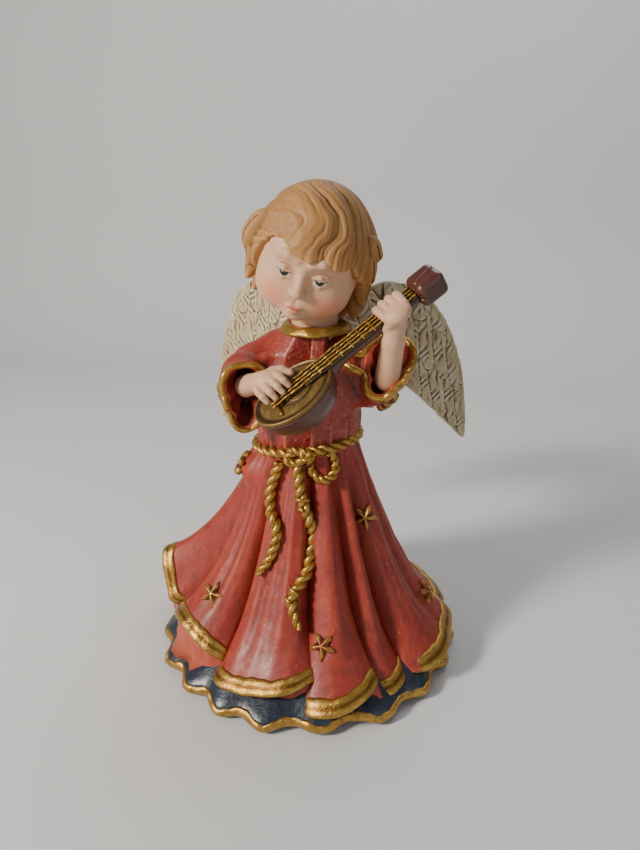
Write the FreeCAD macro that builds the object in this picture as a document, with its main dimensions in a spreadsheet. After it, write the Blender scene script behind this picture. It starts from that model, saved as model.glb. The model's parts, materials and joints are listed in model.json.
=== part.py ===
import FreeCAD, Part
import math
import os

# Cast resin angel figurine playing a small round-backed mandolin.
# Frame: millimetres, +Z up, the figure looks towards -Y and its left hand is on +X.
# The origin is the centre of the felt pad's underside, the face that the figurine stands on.

Vector = FreeCAD.Vector
doc = FreeCAD.newDocument("angel_figurine")

# ---------------------------------------------------------------- driving dimensions

DIMENSIONS = [
    # base
    ("pad_radius", 41.0), ("pad_thick", 1.2), ("pad_proud", 0.3), ("glue_gap", 0.1),
    # blue underskirt
    ("under_radius", 48.4), ("under_ripple", 1.6), ("under_foot", 1.0), ("under_band", 2.8),
    ("seat_radius", 28.0), ("seat_height", 14.0), ("boss_radius", 14.0), ("boss_tall", 6.0),
    # red overskirt
    ("skirt_reach", 47.0), ("skirt_valley", 8.0), ("skirt_hem", 9.0), ("hem_band", 0.075),
    ("band_proud", 0.6),
    ("waist_height", 73.0), ("waist_slope", 2.2), ("waist_wide", 31.0), ("waist_deep", 27.0),
    # torso
    ("torso_tall", 35.0), ("chest_wide", 33.0), ("chest_deep", 27.0),
    ("neck_lean", 3.0), ("neck_radius", 6.5), ("plug_deep", 8.0),
    ("collar_radius", 8.6), ("collar_thick", 1.3),
    # head
    ("skull_wide", 33.2), ("chin_radius", 8.8),
    ("neck_tall", 5.0), ("hair_thick", 2.9), ("head_roll", 16.0), ("head_turn", 6.0), ("head_nod", 12.0),
    # sleeves and hands
    ("arm_radius", 7.4), ("sleeve_wall", 1.3), ("cuff_wide", 1.9), ("mouth_tall", 20.0), ("mouth_wide", 12.5),
    ("wrist_radius", 3.4), ("palm_long", 9.5), ("palm_wide", 7.6), ("palm_thick", 4.6), ("finger_radius", 1.15),
    # wings
    ("wing_span", 54.0), ("wing_tall", 60.0), ("wing_thick", 3.0), ("wing_sweep", 36.0), ("right_sweep", 41.0),
    ("tenon_tall", 10.0), ("tenon_deep", 5.0), ("tenon_clear", 0.1),
    # mandolin
    ("bowl_long", 25.0), ("bowl_wide", 18.6), ("bowl_deep", 11.5), ("board_thick", 1.2),
    ("hole_radius", 2.9), ("neck_wide", 5.6), ("neck_long", 29.5), ("neck_deep", 3.2),
    ("fret_thick", 0.9), ("string_radius", 0.3), ("peg_long", 8.5), ("peg_wide", 8.6), ("peg_deep", 7.4),
    # rope and stars
    ("rope_radius", 1.65), ("hip_reach", 7.2), ("star_reach", 4.4), ("star_thick", 1.6), ("star_sink", 0.7),
]

sheet = doc.addObject("Spreadsheet::Sheet", "dimensions")
for row, (alias, size) in enumerate(DIMENSIONS, start=1):
    sheet.set(f"A{row}", alias)
    sheet.set(f"B{row}", str(size))
    sheet.setAlias(f"B{row}", alias)
doc.recompute()


def value(alias):
    """A driving dimension, read back from the sheet."""
    return float(sheet.get(alias))


# ---------------------------------------------------------------- counts, angles and proportions

CURVE_POINTS = 72          # interpolation points on each draped outline
RIPPLES = 19               # small flutes of the underskirt's hem
STRINGS = 4
FRETS = 9

# Each lobe of the overskirt's hem: its direction in degrees, its reach as a share of skirt_reach
# and how far its hem lifts above skirt_hem. The hem is blown up on the figure's right, at 180 degrees.
LOBES = [
    (-180, 1.12, 14.0), (-141, 0.95, 8.0), (-101, 0.97, 0.5), (-64, 0.98, 0.5), (-34, 0.95, 1.0),
    (0, 1.04, 2.0), (38, 1.04, 3.0), (74, 1.03, 2.5), (108, 1.02, 3.0), (143, 1.05, 7.0),
]

# Stars: direction in degrees and share of the way down from the waist to the hem.
SKIRT_STARS = [(-136, 0.82), (-69, 0.84), (-24, 0.37), (2, 0.87), (60, 0.66), (100, 0.42), (128, 0.74)]

NODES = []


def node(obj, name):
    """Names a sub-part and puts it on the list of the files to write."""
    obj.Label = name
    NODES.append(obj)
    return obj


def feature(name, shape, placement=None):
    """A sub-part whose shape comes from Part's own functions."""
    obj = doc.addObject("Part::Feature", name)
    obj.Shape = shape
    if placement is not None:
        obj.Placement = placement
    return node(obj, name)


def primitive(kind, name, placement=None, **bound):
    """A Part primitive with each property bound to an expression on the sheet."""
    obj = doc.addObject(kind, name)
    for prop, expression in bound.items():
        if isinstance(expression, str):
            obj.setExpression(prop, expression)
        else:
            setattr(obj, prop, expression)
    if placement is not None:
        obj.Placement = placement
    return obj


def origin_plane(body, role):
    return [f for f in body.Origin.OriginFeatures if f.Role == role][0]


def body_sketch(body, name, role="XY_Plane"):
    sketch = body.newObject("Sketcher::SketchObject", name)
    sketch.AttachmentSupport = [(origin_plane(body, role), "")]
    sketch.MapMode = "FlatFace"
    return sketch


def add_polygon(sketch, points):
    """Closed outline of straight lines with joined corners."""
    count = len(points)
    lines = [Part.LineSegment(points[i], points[(i + 1) % count]) for i in range(count)]
    sketch.addGeometry(lines, False)


def add_circle(sketch, expression, centre=None):
    """Circle whose radius is bound to the sheet."""
    import Sketcher
    index = sketch.addGeometry(Part.Circle(centre or Vector(0, 0, 0), Vector(0, 0, 1), 5.0), False)
    constraint = sketch.addConstraint(Sketcher.Constraint("Radius", index, 5.0))
    sketch.setExpression(f"Constraints[{constraint}]", expression)


def pad(body, name, sketch, expression, midplane=False, reverse=False):
    made = body.newObject("PartDesign::Pad", name)
    made.Profile = sketch
    made.Midplane = midplane
    made.Reversed = reverse
    made.setExpression("Length", expression)
    return made


# ---------------------------------------------------------------- draped outlines

def closed_edge(points):
    """A smooth closed edge. Every outline has the same parameters, so that outlines match."""
    curve = Part.BSplineCurve()
    curve.interpolate(Points=points, PeriodicFlag=True, Parameters=[float(i) for i in range(len(points) + 1)])
    return curve.toShape()


def ring_face(lower, upper):
    return Part.makeRuledSurface(lower, upper)


def sewn_solid(faces):
    shell = Part.makeShell(faces)
    shell.sewShape()
    solid = Part.makeSolid(shell)
    if solid.Volume < 0:
        solid.reverse()
    return solid


def band_solid(inner_low, inner_high, outer_high, outer_low):
    """A closed band between two pairs of outlines."""
    edges = [inner_low, inner_high, outer_high, outer_low]
    return sewn_solid([ring_face(edges[i], edges[(i + 1) % 4]) for i in range(4)])


def stations():
    return [360.0 * i / CURVE_POINTS - 180.0 for i in range(CURVE_POINTS)]


def circle_points(radius, height):
    return [Vector(radius * math.cos(math.radians(a)), radius * math.sin(math.radians(a)), height)
            for a in stations()]


def pushed_out(points, distance):
    """The same outline moved outwards, square to its own run in plan."""
    moved = []
    for i, point in enumerate(points):
        along = points[(i + 1) % len(points)] - points[i - 1]
        moved.append(point + Vector(along.y, -along.x, 0).normalize() * distance)
    return moved


def lowered(points, distance):
    return [p - Vector(0, 0, distance) for p in points]


def smooth_step(share):
    return share * share * (3.0 - 2.0 * share)


def hem_point(angle):
    """Radius and height of the overskirt's hem in a direction, between the two nearest lobes."""
    turned = [(lobe[0] + 360.0 * k, lobe[1], lobe[2]) for k in (-1, 0, 1) for lobe in LOBES]
    turned.sort()
    for left, right in zip(turned, turned[1:]):
        if left[0] <= angle < right[0]:
            share = (angle - left[0]) / (right[0] - left[0])
            mix = smooth_step(share)
            reach = value("skirt_reach") * (left[1] + (right[1] - left[1]) * mix)
            lift = left[2] + (right[2] - left[2]) * mix
            # the valley lies nearer to the next lobe, so that each lobe leans over it
            valley = math.sin(math.pi * share ** 1.5) ** 2
            radius = reach - value("skirt_valley") * valley
            return radius, value("skirt_hem") + lift * (1.0 - 0.3 * valley)
    raise ValueError("no lobe pair at this direction")


def skirt_point(angle, share):
    """A point of the overskirt: share 0 is the waist and 1 the hem."""
    flare = 0.75 * share ** 1.2 + 0.25 * share ** 6
    radius, height = hem_point(angle)
    turn = math.radians(angle)
    waist = Vector(value("waist_wide") / 2 * math.cos(turn), value("waist_deep") / 2 * math.sin(turn), 0)
    hem = Vector(radius * math.cos(turn), radius * math.sin(turn), 0)
    point = waist + (hem - waist) * flare
    top = value("waist_height") + value("waist_slope") * math.cos(turn)
    point.z = top + (height - top) * share
    return point


def skirt_normal(angle, share):
    step = 0.02
    across = skirt_point(angle + 1.5, share) - skirt_point(angle - 1.5, share)
    down = skirt_point(angle, share + step) - skirt_point(angle, share - step)
    return down.cross(across).normalize()


def skirt_outline(share):
    return [skirt_point(a, share) for a in stations()]


# ---------------------------------------------------------------- felt pad

pad_body = doc.addObject("PartDesign::Body", "felt_pad")
pad_sketch = body_sketch(pad_body, "felt_outline")
add_circle(pad_sketch, "dimensions.pad_radius")
pad(pad_body, "felt_thickness", pad_sketch, "dimensions.pad_thick")
node(pad_body, "felt_pad")

# ---------------------------------------------------------------- blue underskirt and its gold band


def under_outline(radius, height):
    """Fluted outline of the underskirt, whose ripples fade towards the seat."""
    full = value("under_radius")
    fade = max(0.0, (radius - value("seat_radius")) / (full - value("seat_radius")))
    ripple = value("under_ripple") * fade
    points = []
    for angle in stations():
        turn = math.radians(angle)
        r = radius + ripple * math.sin(RIPPLES * turn + 0.9 * math.sin(3 * turn))
        points.append(Vector(r * math.cos(turn), r * math.sin(turn), height))
    return points


def make_underskirt():
    foot = value("pad_proud")
    band_low = foot + value("under_foot")
    band_high = band_low + value("under_band")
    full = value("under_radius")
    outlines = [
        under_outline(full - 0.8, foot),
        under_outline(full, band_low),
        under_outline(full - 0.7, band_high),
        under_outline((full + value("seat_radius")) / 2, (band_high + value("seat_height")) / 2),
        circle_points(value("seat_radius"), value("seat_height")),
    ]
    edges = [closed_edge(points) for points in outlines]
    faces = [ring_face(a, b) for a, b in zip(edges, edges[1:])]
    faces += [Part.Face(Part.Wire([edges[0]])), Part.Face(Part.Wire([edges[-1]]))]
    solid = sewn_solid(faces)
    recess = Part.makeCylinder(value("pad_radius") + value("glue_gap"), value("pad_thick"))
    boss = Part.makeCylinder(value("boss_radius"), value("boss_tall") + 1.0,
                             Vector(0, 0, value("seat_height") - 1.0))
    feature("underskirt", solid.cut(recess).fuse(boss).removeSplitter())
    inner = [outlines[1], outlines[2]]
    outer = [pushed_out(points, value("band_proud")) for points in inner]
    feature("underskirt_band", band_solid(closed_edge(inner[0]), closed_edge(inner[1]),
                                          closed_edge(outer[1]), closed_edge(outer[0])))


make_underskirt()

# ---------------------------------------------------------------- stars


def star_solid():
    """Five-pointed star with ridged arms on a thin base, lying in XY with its peak on +Z."""
    reach = value("star_reach")
    corners = []
    for i in range(10):
        r = reach if i % 2 == 0 else 0.42 * reach
        turn = math.pi / 2 + math.pi * i / 5
        corners.append(Vector(r * math.cos(turn), r * math.sin(turn), 0))
    outline = Part.makePolygon(corners + corners[:1])
    base = Part.Face(outline).extrude(Vector(0, 0, value("star_sink") + 0.3))
    top = value("star_sink") + 0.3
    peak = Vector(0, 0, value("star_thick"))
    raised = [corner + Vector(0, 0, top) for corner in corners]
    sides = [Part.Face(Part.makePolygon([raised[i], raised[(i + 1) % 10], peak, raised[i]])) for i in range(10)]
    sides.append(Part.Face(Part.makePolygon(raised + raised[:1])))
    return base.fuse(sewn_solid(sides)).removeSplitter()


def placed_on(point, outward, spin):
    """Placement that lays XY on a surface with +Z outwards."""
    upright = FreeCAD.Rotation(Vector(0, 0, 1), outward)
    turned = FreeCAD.Rotation(outward, spin)
    return FreeCAD.Placement(point - outward * value("star_sink"), turned.multiply(upright))


def hip_fold():
    """Bunched cloth below the belt on the figure's right hip."""
    ball = Part.makeSphere(1.0)
    stretch = FreeCAD.Matrix()
    stretch.scale(Vector(0.75, 1.0, 1.0) * value("hip_reach"))
    ball = ball.transformGeometry(stretch)
    ball.translate(HIP_CENTRE)
    return ball


def surface_hit(shape, start, direction):
    """The farthest point of a shape on a line from start."""
    ray = Part.makeLine(start, start + Vector(direction).normalize() * 100.0)
    corners = [v.Point for v in shape.common(ray).Vertexes]
    return max(corners, key=lambda point: (point - start).Length)


HIP_CENTRE = Vector(-value("waist_wide") / 2 + 0.3, -5.0, value("waist_height") - value("hip_reach") - 2.0)
STAR = star_solid()
stars = []


def add_star(shape, start, direction, spin):
    """Sets a star into the surface where a line from start leaves the shape."""
    star = STAR.copy()
    direction = Vector(direction).normalize()
    star.Placement = placed_on(surface_hit(shape, start, direction), direction, spin)
    stars.append(star)


add_star(hip_fold(), HIP_CENTRE, (-0.95, -0.25, 0.15), 10.0)
for number, (direction, share) in enumerate(SKIRT_STARS):
    star = STAR.copy()
    star.Placement = placed_on(skirt_point(direction, share), skirt_normal(direction, share), 25.0 * number)
    stars.append(star)

# ---------------------------------------------------------------- red overskirt and its gold hem


def make_overskirt():
    shares = [1.0, 1.0 - value("hem_band"), 0.8, 0.62, 0.42, 0.2, 0.0]
    outlines = [skirt_outline(share) for share in shares]
    edges = [closed_edge(points) for points in outlines]
    faces = [ring_face(a, b) for a, b in zip(edges, edges[1:])]
    seat = value("seat_height") + value("glue_gap")
    inner = closed_edge(circle_points(value("seat_radius"), seat))
    faces += [ring_face(inner, edges[0]), Part.Face(Part.Wire([inner])), Part.Face(Part.Wire([edges[-1]]))]
    solid = sewn_solid(faces).fuse(hip_fold())
    socket = Part.makeCylinder(value("boss_radius") + value("glue_gap"), value("boss_tall") + value("glue_gap"),
                               Vector(0, 0, value("seat_height")))
    band_low = outlines[0]
    band_high = outlines[1]
    outer_low = pushed_out(band_low, value("band_proud"))
    outer_high = pushed_out(band_high, value("band_proud"))
    feature("skirt_hem_band", band_solid(closed_edge(band_low), closed_edge(band_high),
                                         closed_edge(outer_high), closed_edge(outer_low)))
    return solid.cut(socket)


skirt_shape = make_overskirt()

# ---------------------------------------------------------------- torso

WAIST_Z = value("waist_height")
NECK_Z = WAIST_Z + value("torso_tall")
NECK_TOP = Vector(value("neck_lean"), -1.5, NECK_Z)


def ellipse_outline(centre, half_wide, half_deep, slope=0.0):
    """Ellipse in plan that rises by slope towards the figure's left."""
    return closed_edge([centre + Vector(half_wide * math.cos(math.radians(a)),
                                        half_deep * math.sin(math.radians(a)),
                                        slope * math.cos(math.radians(a))) for a in stations()])


def make_torso():
    """Smooth torso from the waist up to the neckline."""
    tall = value("torso_tall")
    wide = value("chest_wide") / 2
    deep = value("chest_deep") / 2
    lean = value("neck_lean")
    sections = [
        (0.00, value("waist_wide") / 2, value("waist_deep") / 2),
        (0.30, 0.96 * wide, 0.98 * deep),
        (0.60, wide, deep),
        (0.82, 0.90 * wide, 0.88 * deep),
        (1.00, value("collar_radius"), value("collar_radius")),
    ]
    rise = value("waist_slope")
    wires = [Part.Wire([ellipse_outline(Vector(lean * s, -1.5 * s, WAIST_Z + tall * s), w, d, rise * (1 - s))])
             for s, w, d in sections]
    return Part.makeLoft(wires, True, False, False, 3)


torso = make_torso()
neck_socket = Part.makeCylinder(value("neck_radius") + value("glue_gap"), value("plug_deep") + 1.0,
                                NECK_TOP - Vector(0, 0, value("plug_deep")))

# ---------------------------------------------------------------- wings

WING_ROOT_Z = WAIST_Z + 0.75 * value("torso_tall")
WING_ROOT_Y = 0.36 * value("chest_deep")
# Outline of a wing as shares of its span (outwards) and height (from its tip), starting at the root.
WING_OUTLINE = [(0.00, 0.50), (0.02, 0.78), (0.16, 0.95), (0.38, 1.00), (0.63, 0.91), (0.82, 0.71),
                (0.95, 0.41), (1.00, 0.02), (0.86, 0.10), (0.66, 0.27), (0.44, 0.42), (0.20, 0.46)]
WING_ROOT_SHARE = 0.66     # height of the tenon on the wing


def make_wing(name, side, sweep):
    """Flat cast wing with a tenon that is glued into the back. side is +1 for the figure's left."""
    body = doc.addObject("PartDesign::Body", name)
    sketch = body_sketch(body, name + "_outline", "XZ_Plane")
    span = value("wing_span")
    tall = value("wing_tall")
    drop = WING_ROOT_SHARE * tall
    points = [Vector(side * u * span, v * tall - drop, 0) for u, v in WING_OUTLINE]
    curve = Part.BSplineCurve()
    curve.interpolate(Points=points, PeriodicFlag=True)
    sketch.addGeometry(curve, False)
    pad(body, name + "_blade", sketch, "dimensions.wing_thick", midplane=True)
    tenon = body_sketch(body, name + "_tenon_outline", "XZ_Plane")
    half = value("tenon_tall") / 2
    near = -side * value("tenon_deep")
    far = side * 4.0
    add_polygon(tenon, [Vector(near, -half, 0), Vector(far, -half, 0), Vector(far, half, 0), Vector(near, half, 0)])
    pad(body, name + "_tenon", tenon, "dimensions.wing_thick", midplane=True)
    root = Vector(side * 6.0, WING_ROOT_Y + 2.0, WING_ROOT_Z)
    body.Placement = FreeCAD.Placement(root, FreeCAD.Rotation(Vector(0, 0, 1), side * sweep))
    node(body, name)
    thick = value("wing_thick") + 2 * value("tenon_clear")
    high = value("tenon_tall") + 2 * value("tenon_clear")
    long = 2 * value("tenon_deep")
    socket = Part.makeBox(long, thick, high, Vector(-long / 2, -thick / 2, -high / 2))
    socket.translate(Vector(-side * value("tenon_clear"), 0, 0))
    socket.Placement = body.Placement.multiply(socket.Placement)
    doc.recompute()
    return socket.fuse(body.Shape)


wing_room = make_wing("left_wing", 1, value("wing_sweep")).fuse(
    make_wing("right_wing", -1, value("right_sweep")))

# ---------------------------------------------------------------- sleeves, cuffs and hands


def frame_of(axis, up):
    """Unit vectors across, up and along for a section square to axis."""
    along = Vector(axis).normalize()
    across = Vector(up).cross(along).normalize()
    return across, along.cross(across).normalize(), along


def section(centre, axis, up, half_across, half_up):
    across, high, _ = frame_of(axis, up)
    return Part.Wire([closed_edge([centre + across * (half_across * math.cos(math.radians(a)))
                                   + high * (half_up * math.sin(math.radians(a))) for a in stations()])])


def lofted(run):
    """Solid through the sections of a run, turned right side out."""
    solid = Part.makeLoft([section(*step) for step in run], True, False, False, 3)
    if solid.Volume < 0:
        solid.reverse()
    return solid


def make_sleeve(name, cuff_name, run, star_way):
    """Bell sleeve: a lofted shell with an open mouth, and the gold cuff on the mouth's rim.

    run is a list of (centre, axis, up, half across, half up), from the shoulder to the mouth,
    and star_way the direction from its bend in which a star sits."""
    wall = value("sleeve_wall")
    outer = lofted(run)
    inside = [(c, axis, up, a - wall, b - wall) for c, axis, up, a, b in run[2:]]
    centre, axis, up, across, high = inside[-1]
    direction = Vector(axis).normalize()
    inside.append((centre + direction * 1.0, axis, up, across, high))
    shell = outer.cut(lofted(inside)).cut(torso).cut(wing_room)
    solid = sorted(shell.Solids, key=lambda s: s.Volume)[-1]
    add_star(outer, run[2][0], star_way, 20.0)
    feature(name, solid.cut(stars[-1]))
    mouth, axis, up, across, high = run[-1]
    direction = Vector(axis).normalize()
    wide = value("cuff_wide")
    gap = value("glue_gap")
    proud = value("band_proud")
    rim_start = mouth + direction * gap
    rim_end = mouth + direction * (gap + wide)
    rings = [
        section(rim_start, axis, up, across - wall, high - wall),
        section(rim_end, axis, up, across - wall + 0.3, high - wall + 0.3),
        section(rim_end, axis, up, across + proud, high + proud),
        section(rim_start, axis, up, across + proud, high + proud),
    ]
    feature(cuff_name, band_solid(*[ring.Edges[0] for ring in rings]))


CHEST_TOP = Vector(0, 0, WAIST_Z + 0.72 * value("torso_tall"))
HALF_TALL = value("mouth_tall") / 2
HALF_WIDE = value("mouth_wide") / 2
ARM = value("arm_radius")

RIGHT_MOUTH = CHEST_TOP + Vector(-14.2, -17.6, -7.6)
RIGHT_MOUTH_AXIS = Vector(0.42, -0.90, 0.05)
right_run = [
    (CHEST_TOP + Vector(-8.0, 0.0, 1.0), Vector(-0.70, -0.35, -0.45), Vector(0, 0, 1), ARM, ARM),
    (CHEST_TOP + Vector(-14.5, -4.5, -3.0), Vector(-0.35, -0.80, -0.45), Vector(0, 0, 1), ARM, 1.12 * ARM),
    (CHEST_TOP + Vector(-16.5, -11.0, -6.0), Vector(0.05, -0.98, -0.15), Vector(0, 0, 1),
     0.98 * HALF_WIDE, 0.92 * HALF_TALL),
    (RIGHT_MOUTH, RIGHT_MOUTH_AXIS, Vector(0, 0, 1), HALF_WIDE, HALF_TALL),
]
make_sleeve("right_sleeve", "right_cuff", right_run, (-0.90, -0.30, -0.30))

LEFT_MOUTH = CHEST_TOP + Vector(25.5, -8.5, 1.5)
LEFT_MOUTH_AXIS = Vector(0.10, -0.74, 0.66)
left_run = [
    (CHEST_TOP + Vector(10.0, 0.5, 1.0), Vector(0.9, -0.1, -0.4), Vector(0, 0, 1), ARM, ARM),
    (CHEST_TOP + Vector(18.0, -0.5, -4.0), Vector(0.75, -0.45, -0.45), Vector(0, 0, 1), ARM, 1.05 * ARM),
    (CHEST_TOP + Vector(23.5, -3.0, -3.0), Vector(0.45, -0.85, 0.25), Vector(0.2, 0.2, 1),
     0.95 * HALF_WIDE, 0.9 * HALF_TALL),
    (LEFT_MOUTH, LEFT_MOUTH_AXIS, Vector(0.25, 0.3, 1), HALF_WIDE, HALF_TALL),
]
make_sleeve("left_sleeve", "left_cuff", left_run, (0.35, -0.35, -0.85))

# ---------------------------------------------------------------- mandolin

MANDOLIN_AXIS = Vector(0.73, 0.35, 0.595).normalize()
facing = Vector(-0.45, -0.58, 0.68)
MANDOLIN_FACE = (facing - MANDOLIN_AXIS * facing.dot(MANDOLIN_AXIS)).normalize()
MANDOLIN_ACROSS = MANDOLIN_FACE.cross(MANDOLIN_AXIS)
MANDOLIN_CENTRE = Vector(1.8, -(value("chest_deep") / 2 + value("bowl_deep") - 1.5), WAIST_Z + 21.3)
# local X runs along the neck, Y across it and Z out of the soundboard
MANDOLIN = FreeCAD.Placement(MANDOLIN_CENTRE, FreeCAD.Rotation(MANDOLIN_AXIS, MANDOLIN_ACROSS, MANDOLIN_FACE, "ZXY"))


def at_mandolin(x, y, z):
    return MANDOLIN.multiply(FreeCAD.Placement(Vector(x, y, z), FreeCAD.Rotation()))


def make_bowl():
    """Lower half of an ellipsoid: the ribbed round back, closed by the soundboard."""
    whole = primitive("Part::Ellipsoid", "bowl_whole", at_mandolin(0, 0, 0), Radius1="dimensions.bowl_deep",
                      Radius2="dimensions.bowl_long / 2", Radius3="dimensions.bowl_wide / 2")
    half = primitive("Part::Box", "bowl_half", None, Length="dimensions.bowl_long + 2",
                     Width="dimensions.bowl_wide + 2", Height="dimensions.bowl_deep + 1")
    half.Placement = at_mandolin(-value("bowl_long") / 2 - 1, -value("bowl_wide") / 2 - 1,
                                 -value("bowl_deep") - 1)
    bowl = doc.addObject("Part::Common", "bowl_round")
    bowl.Base = whole
    bowl.Tool = half
    doc.recompute()
    return bowl.Shape


bowl_shape = make_bowl().cut(torso)
feature("mandolin_bowl", bowl_shape)

board_body = doc.addObject("PartDesign::Body", "mandolin_soundboard")
board_sketch = body_sketch(board_body, "board_outline")
board_sketch.addGeometry(Part.Ellipse(Vector(value("bowl_long") / 2, 0, 0),
                                      Vector(0, value("bowl_wide") / 2, 0), Vector(0, 0, 0)), False)
pad(board_body, "board_thickness", board_sketch, "dimensions.board_thick")
hole_sketch = body_sketch(board_body, "sound_hole_outline")
add_circle(hole_sketch, "dimensions.hole_radius", Vector(value("bowl_long") * 0.06, 0, 0))
doc.recompute()
hole = board_body.newObject("PartDesign::Pocket", "sound_hole")
hole.Profile = hole_sketch
hole.Reversed = True
hole.setExpression("Length", "dimensions.board_thick / 2")
hole.Placement = FreeCAD.Placement()
board_body.Placement = at_mandolin(0, 0, 0)
node(board_body, "mandolin_soundboard")

NECK_START = value("bowl_long") / 2 + value("glue_gap")
NECK_END = NECK_START + value("neck_long")


def make_neck():
    """Neck with a rounded back, its top flush with the soundboard's underside."""
    body = doc.addObject("PartDesign::Body", "mandolin_neck")
    sketch = body_sketch(body, "neck_section", "YZ_Plane")
    half = value("neck_wide") / 2
    arc = Part.Arc(Vector(-half, 0, 0), Vector(0, -value("neck_deep"), 0), Vector(half, 0, 0))
    sketch.addGeometry([arc, Part.LineSegment(Vector(half, 0, 0), Vector(-half, 0, 0))], False)
    pad(body, "neck_run", sketch, "dimensions.neck_long")
    body.Placement = at_mandolin(NECK_START, 0, value("board_thick"))
    return node(body, "mandolin_neck")


neck_body = make_neck()

FRET_TOP = value("board_thick") + value("fret_thick")
BOARD_END = value("bowl_long") * 0.06 + value("hole_radius") + 1.0
fretboard = primitive("Part::Box", "mandolin_fretboard", at_mandolin(BOARD_END, -value("neck_wide") / 2,
                                                                   value("board_thick")),
                      Width="dimensions.neck_wide", Height="dimensions.fret_thick")
fretboard.Length = NECK_END - BOARD_END
node(fretboard, "mandolin_fretboard")


def make_frets():
    """Cross bars that stand on the fretboard between the strings' ends."""
    bars = []
    gap = (NECK_END - BOARD_END) / (FRETS + 1)
    for i in range(1, FRETS + 1):
        bar = Part.makeBox(0.5, value("neck_wide"), 0.25)
        bar.Placement = at_mandolin(BOARD_END + gap * i, -value("neck_wide") / 2, FRET_TOP)
        bars.append(bar)
    feature("mandolin_frets", Part.makeCompound(bars))


make_frets()
BRIDGE_X = -value("bowl_long") * 0.26


def make_bridge():
    """Low bar on the soundboard that the strings run over."""
    bar = Part.makeBox(1.6, 0.55 * value("bowl_wide"), FRET_TOP + 0.25 - value("board_thick"))
    bar.Placement = at_mandolin(BRIDGE_X, -0.275 * value("bowl_wide"), value("board_thick"))
    feature("mandolin_bridge", bar)


make_bridge()


def make_strings():
    """Strings that lie on the bridge and the frets, from the bridge to the pegbox."""
    made = []
    radius = value("string_radius")
    pitch = value("neck_wide") / STRINGS
    height = FRET_TOP + 0.25 + radius
    for i in range(STRINGS):
        across = (i - (STRINGS - 1) / 2) * pitch
        string = Part.makeCylinder(radius, NECK_END - BRIDGE_X, Vector(0, 0, 0), Vector(1, 0, 0))
        string.Placement = at_mandolin(BRIDGE_X, across, height)
        made.append(string)
    feature("mandolin_strings", Part.makeCompound(made))


make_strings()


def make_pegbox():
    """Blunt rounded head at the end of the neck."""
    body = doc.addObject("PartDesign::Body", "mandolin_pegbox")
    sketch = body_sketch(body, "pegbox_section", "YZ_Plane")
    half = value("peg_wide") / 2
    deep = value("peg_deep")
    top = 0.45 * deep
    add_polygon(sketch, [Vector(-half, top - deep, 0), Vector(half, top - deep, 0), Vector(half, top, 0),
                         Vector(-half, top, 0)])
    block = pad(body, "pegbox_run", sketch, "dimensions.peg_long")
    doc.recompute()
    rounding = body.newObject("PartDesign::Fillet", "pegbox_rounding")
    rounding.Base = (block, [f"Edge{i + 1}" for i in range(len(block.Shape.Edges))])
    rounding.setExpression("Radius", "min(dimensions.peg_deep; dimensions.peg_wide; dimensions.peg_long) * 0.28")
    body.Placement = at_mandolin(NECK_END + value("glue_gap"), 0, value("board_thick"))
    return node(body, "mandolin_pegbox")


make_pegbox()
doc.recompute()

mandolin_parts = [bowl_shape, board_body.Shape, neck_body.Shape, fretboard.Shape]
mandolin_parts += [obj.Shape for obj in NODES if obj.Label in ("mandolin_strings", "mandolin_frets", "mandolin_pegbox")]

# ---------------------------------------------------------------- hands


def digit(root, tip, radius):
    """Finger or thumb that tapers to its tip."""
    return Part.makeCone(1.1 * radius, 0.8 * radius, (tip - root).Length, root, tip - root)


def palm_solid(centre, along, back):
    """Rounded block: along points to the fingers and back out of the back of the hand."""
    size = Vector(value("palm_long"), value("palm_wide"), value("palm_thick"))
    block = Part.makeBox(size.x, size.y, size.z)
    block = block.makeChamfer(0.25 * size.z, block.Edges)
    turn = FreeCAD.Placement(centre, FreeCAD.Rotation(along, back.cross(along), back, "ZXY"))
    block.Placement = turn.multiply(FreeCAD.Placement(size * -0.5, FreeCAD.Rotation()))
    return block


def make_hand(name, wrist_from, centre, along, back, spread, thumb_side, curl):
    """Forearm, palm, four fingers and a thumb in one solid."""
    along = Vector(along).normalize()
    back = (Vector(back) - along * Vector(back).dot(along)).normalize()
    across = back.cross(along)
    radius = value("finger_radius")
    heel = centre - along * 0.3 * value("palm_long")
    forearm = Part.makeCone(1.15 * value("wrist_radius"), 0.8 * value("wrist_radius"),
                            (heel - wrist_from).Length, wrist_from, heel - wrist_from)
    pieces = [forearm]
    reach = 0.42 * value("palm_long")
    for i in range(4):
        offset = (i - 1.5) * value("palm_wide") / 4
        root = centre + along * reach * 0.6 + across * offset
        tip = root + along * (0.4 * reach + 3.8) + across * (offset * (spread - 1)) - back * curl
        pieces.append(digit(root, tip, radius))
    root = centre + across * (thumb_side * value("palm_wide") * 0.3)
    tip = root + across * (thumb_side * 3.0) + along * 3.2 - back * 1.0
    pieces.append(digit(root, tip, 1.15 * radius))
    return palm_solid(centre, along, back).multiFuse(pieces)


def trimmed(shape, tools):
    """The largest solid left when the tools are cut away."""
    for tool in tools:
        shape = shape.cut(tool)
    return sorted(shape.Solids, key=lambda s: s.Volume)[-1]


def node_shape(name):
    return [obj for obj in NODES if obj.Label == name][0].Shape


right_centre = MANDOLIN.multVec(Vector(-0.15 * value("bowl_long"), 0.33 * value("bowl_wide"), 4.9))
right_wrist = RIGHT_MOUTH - RIGHT_MOUTH_AXIS * 4.0 + Vector(1.0, 0, 2.5)
right_hand = make_hand("right_hand", right_wrist, right_centre, right_centre - right_wrist,
                       MANDOLIN_FACE, 1.15, 1, 2.6)
feature("right_hand", trimmed(right_hand, mandolin_parts + [node_shape("right_sleeve"), node_shape("right_cuff")]))

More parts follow.
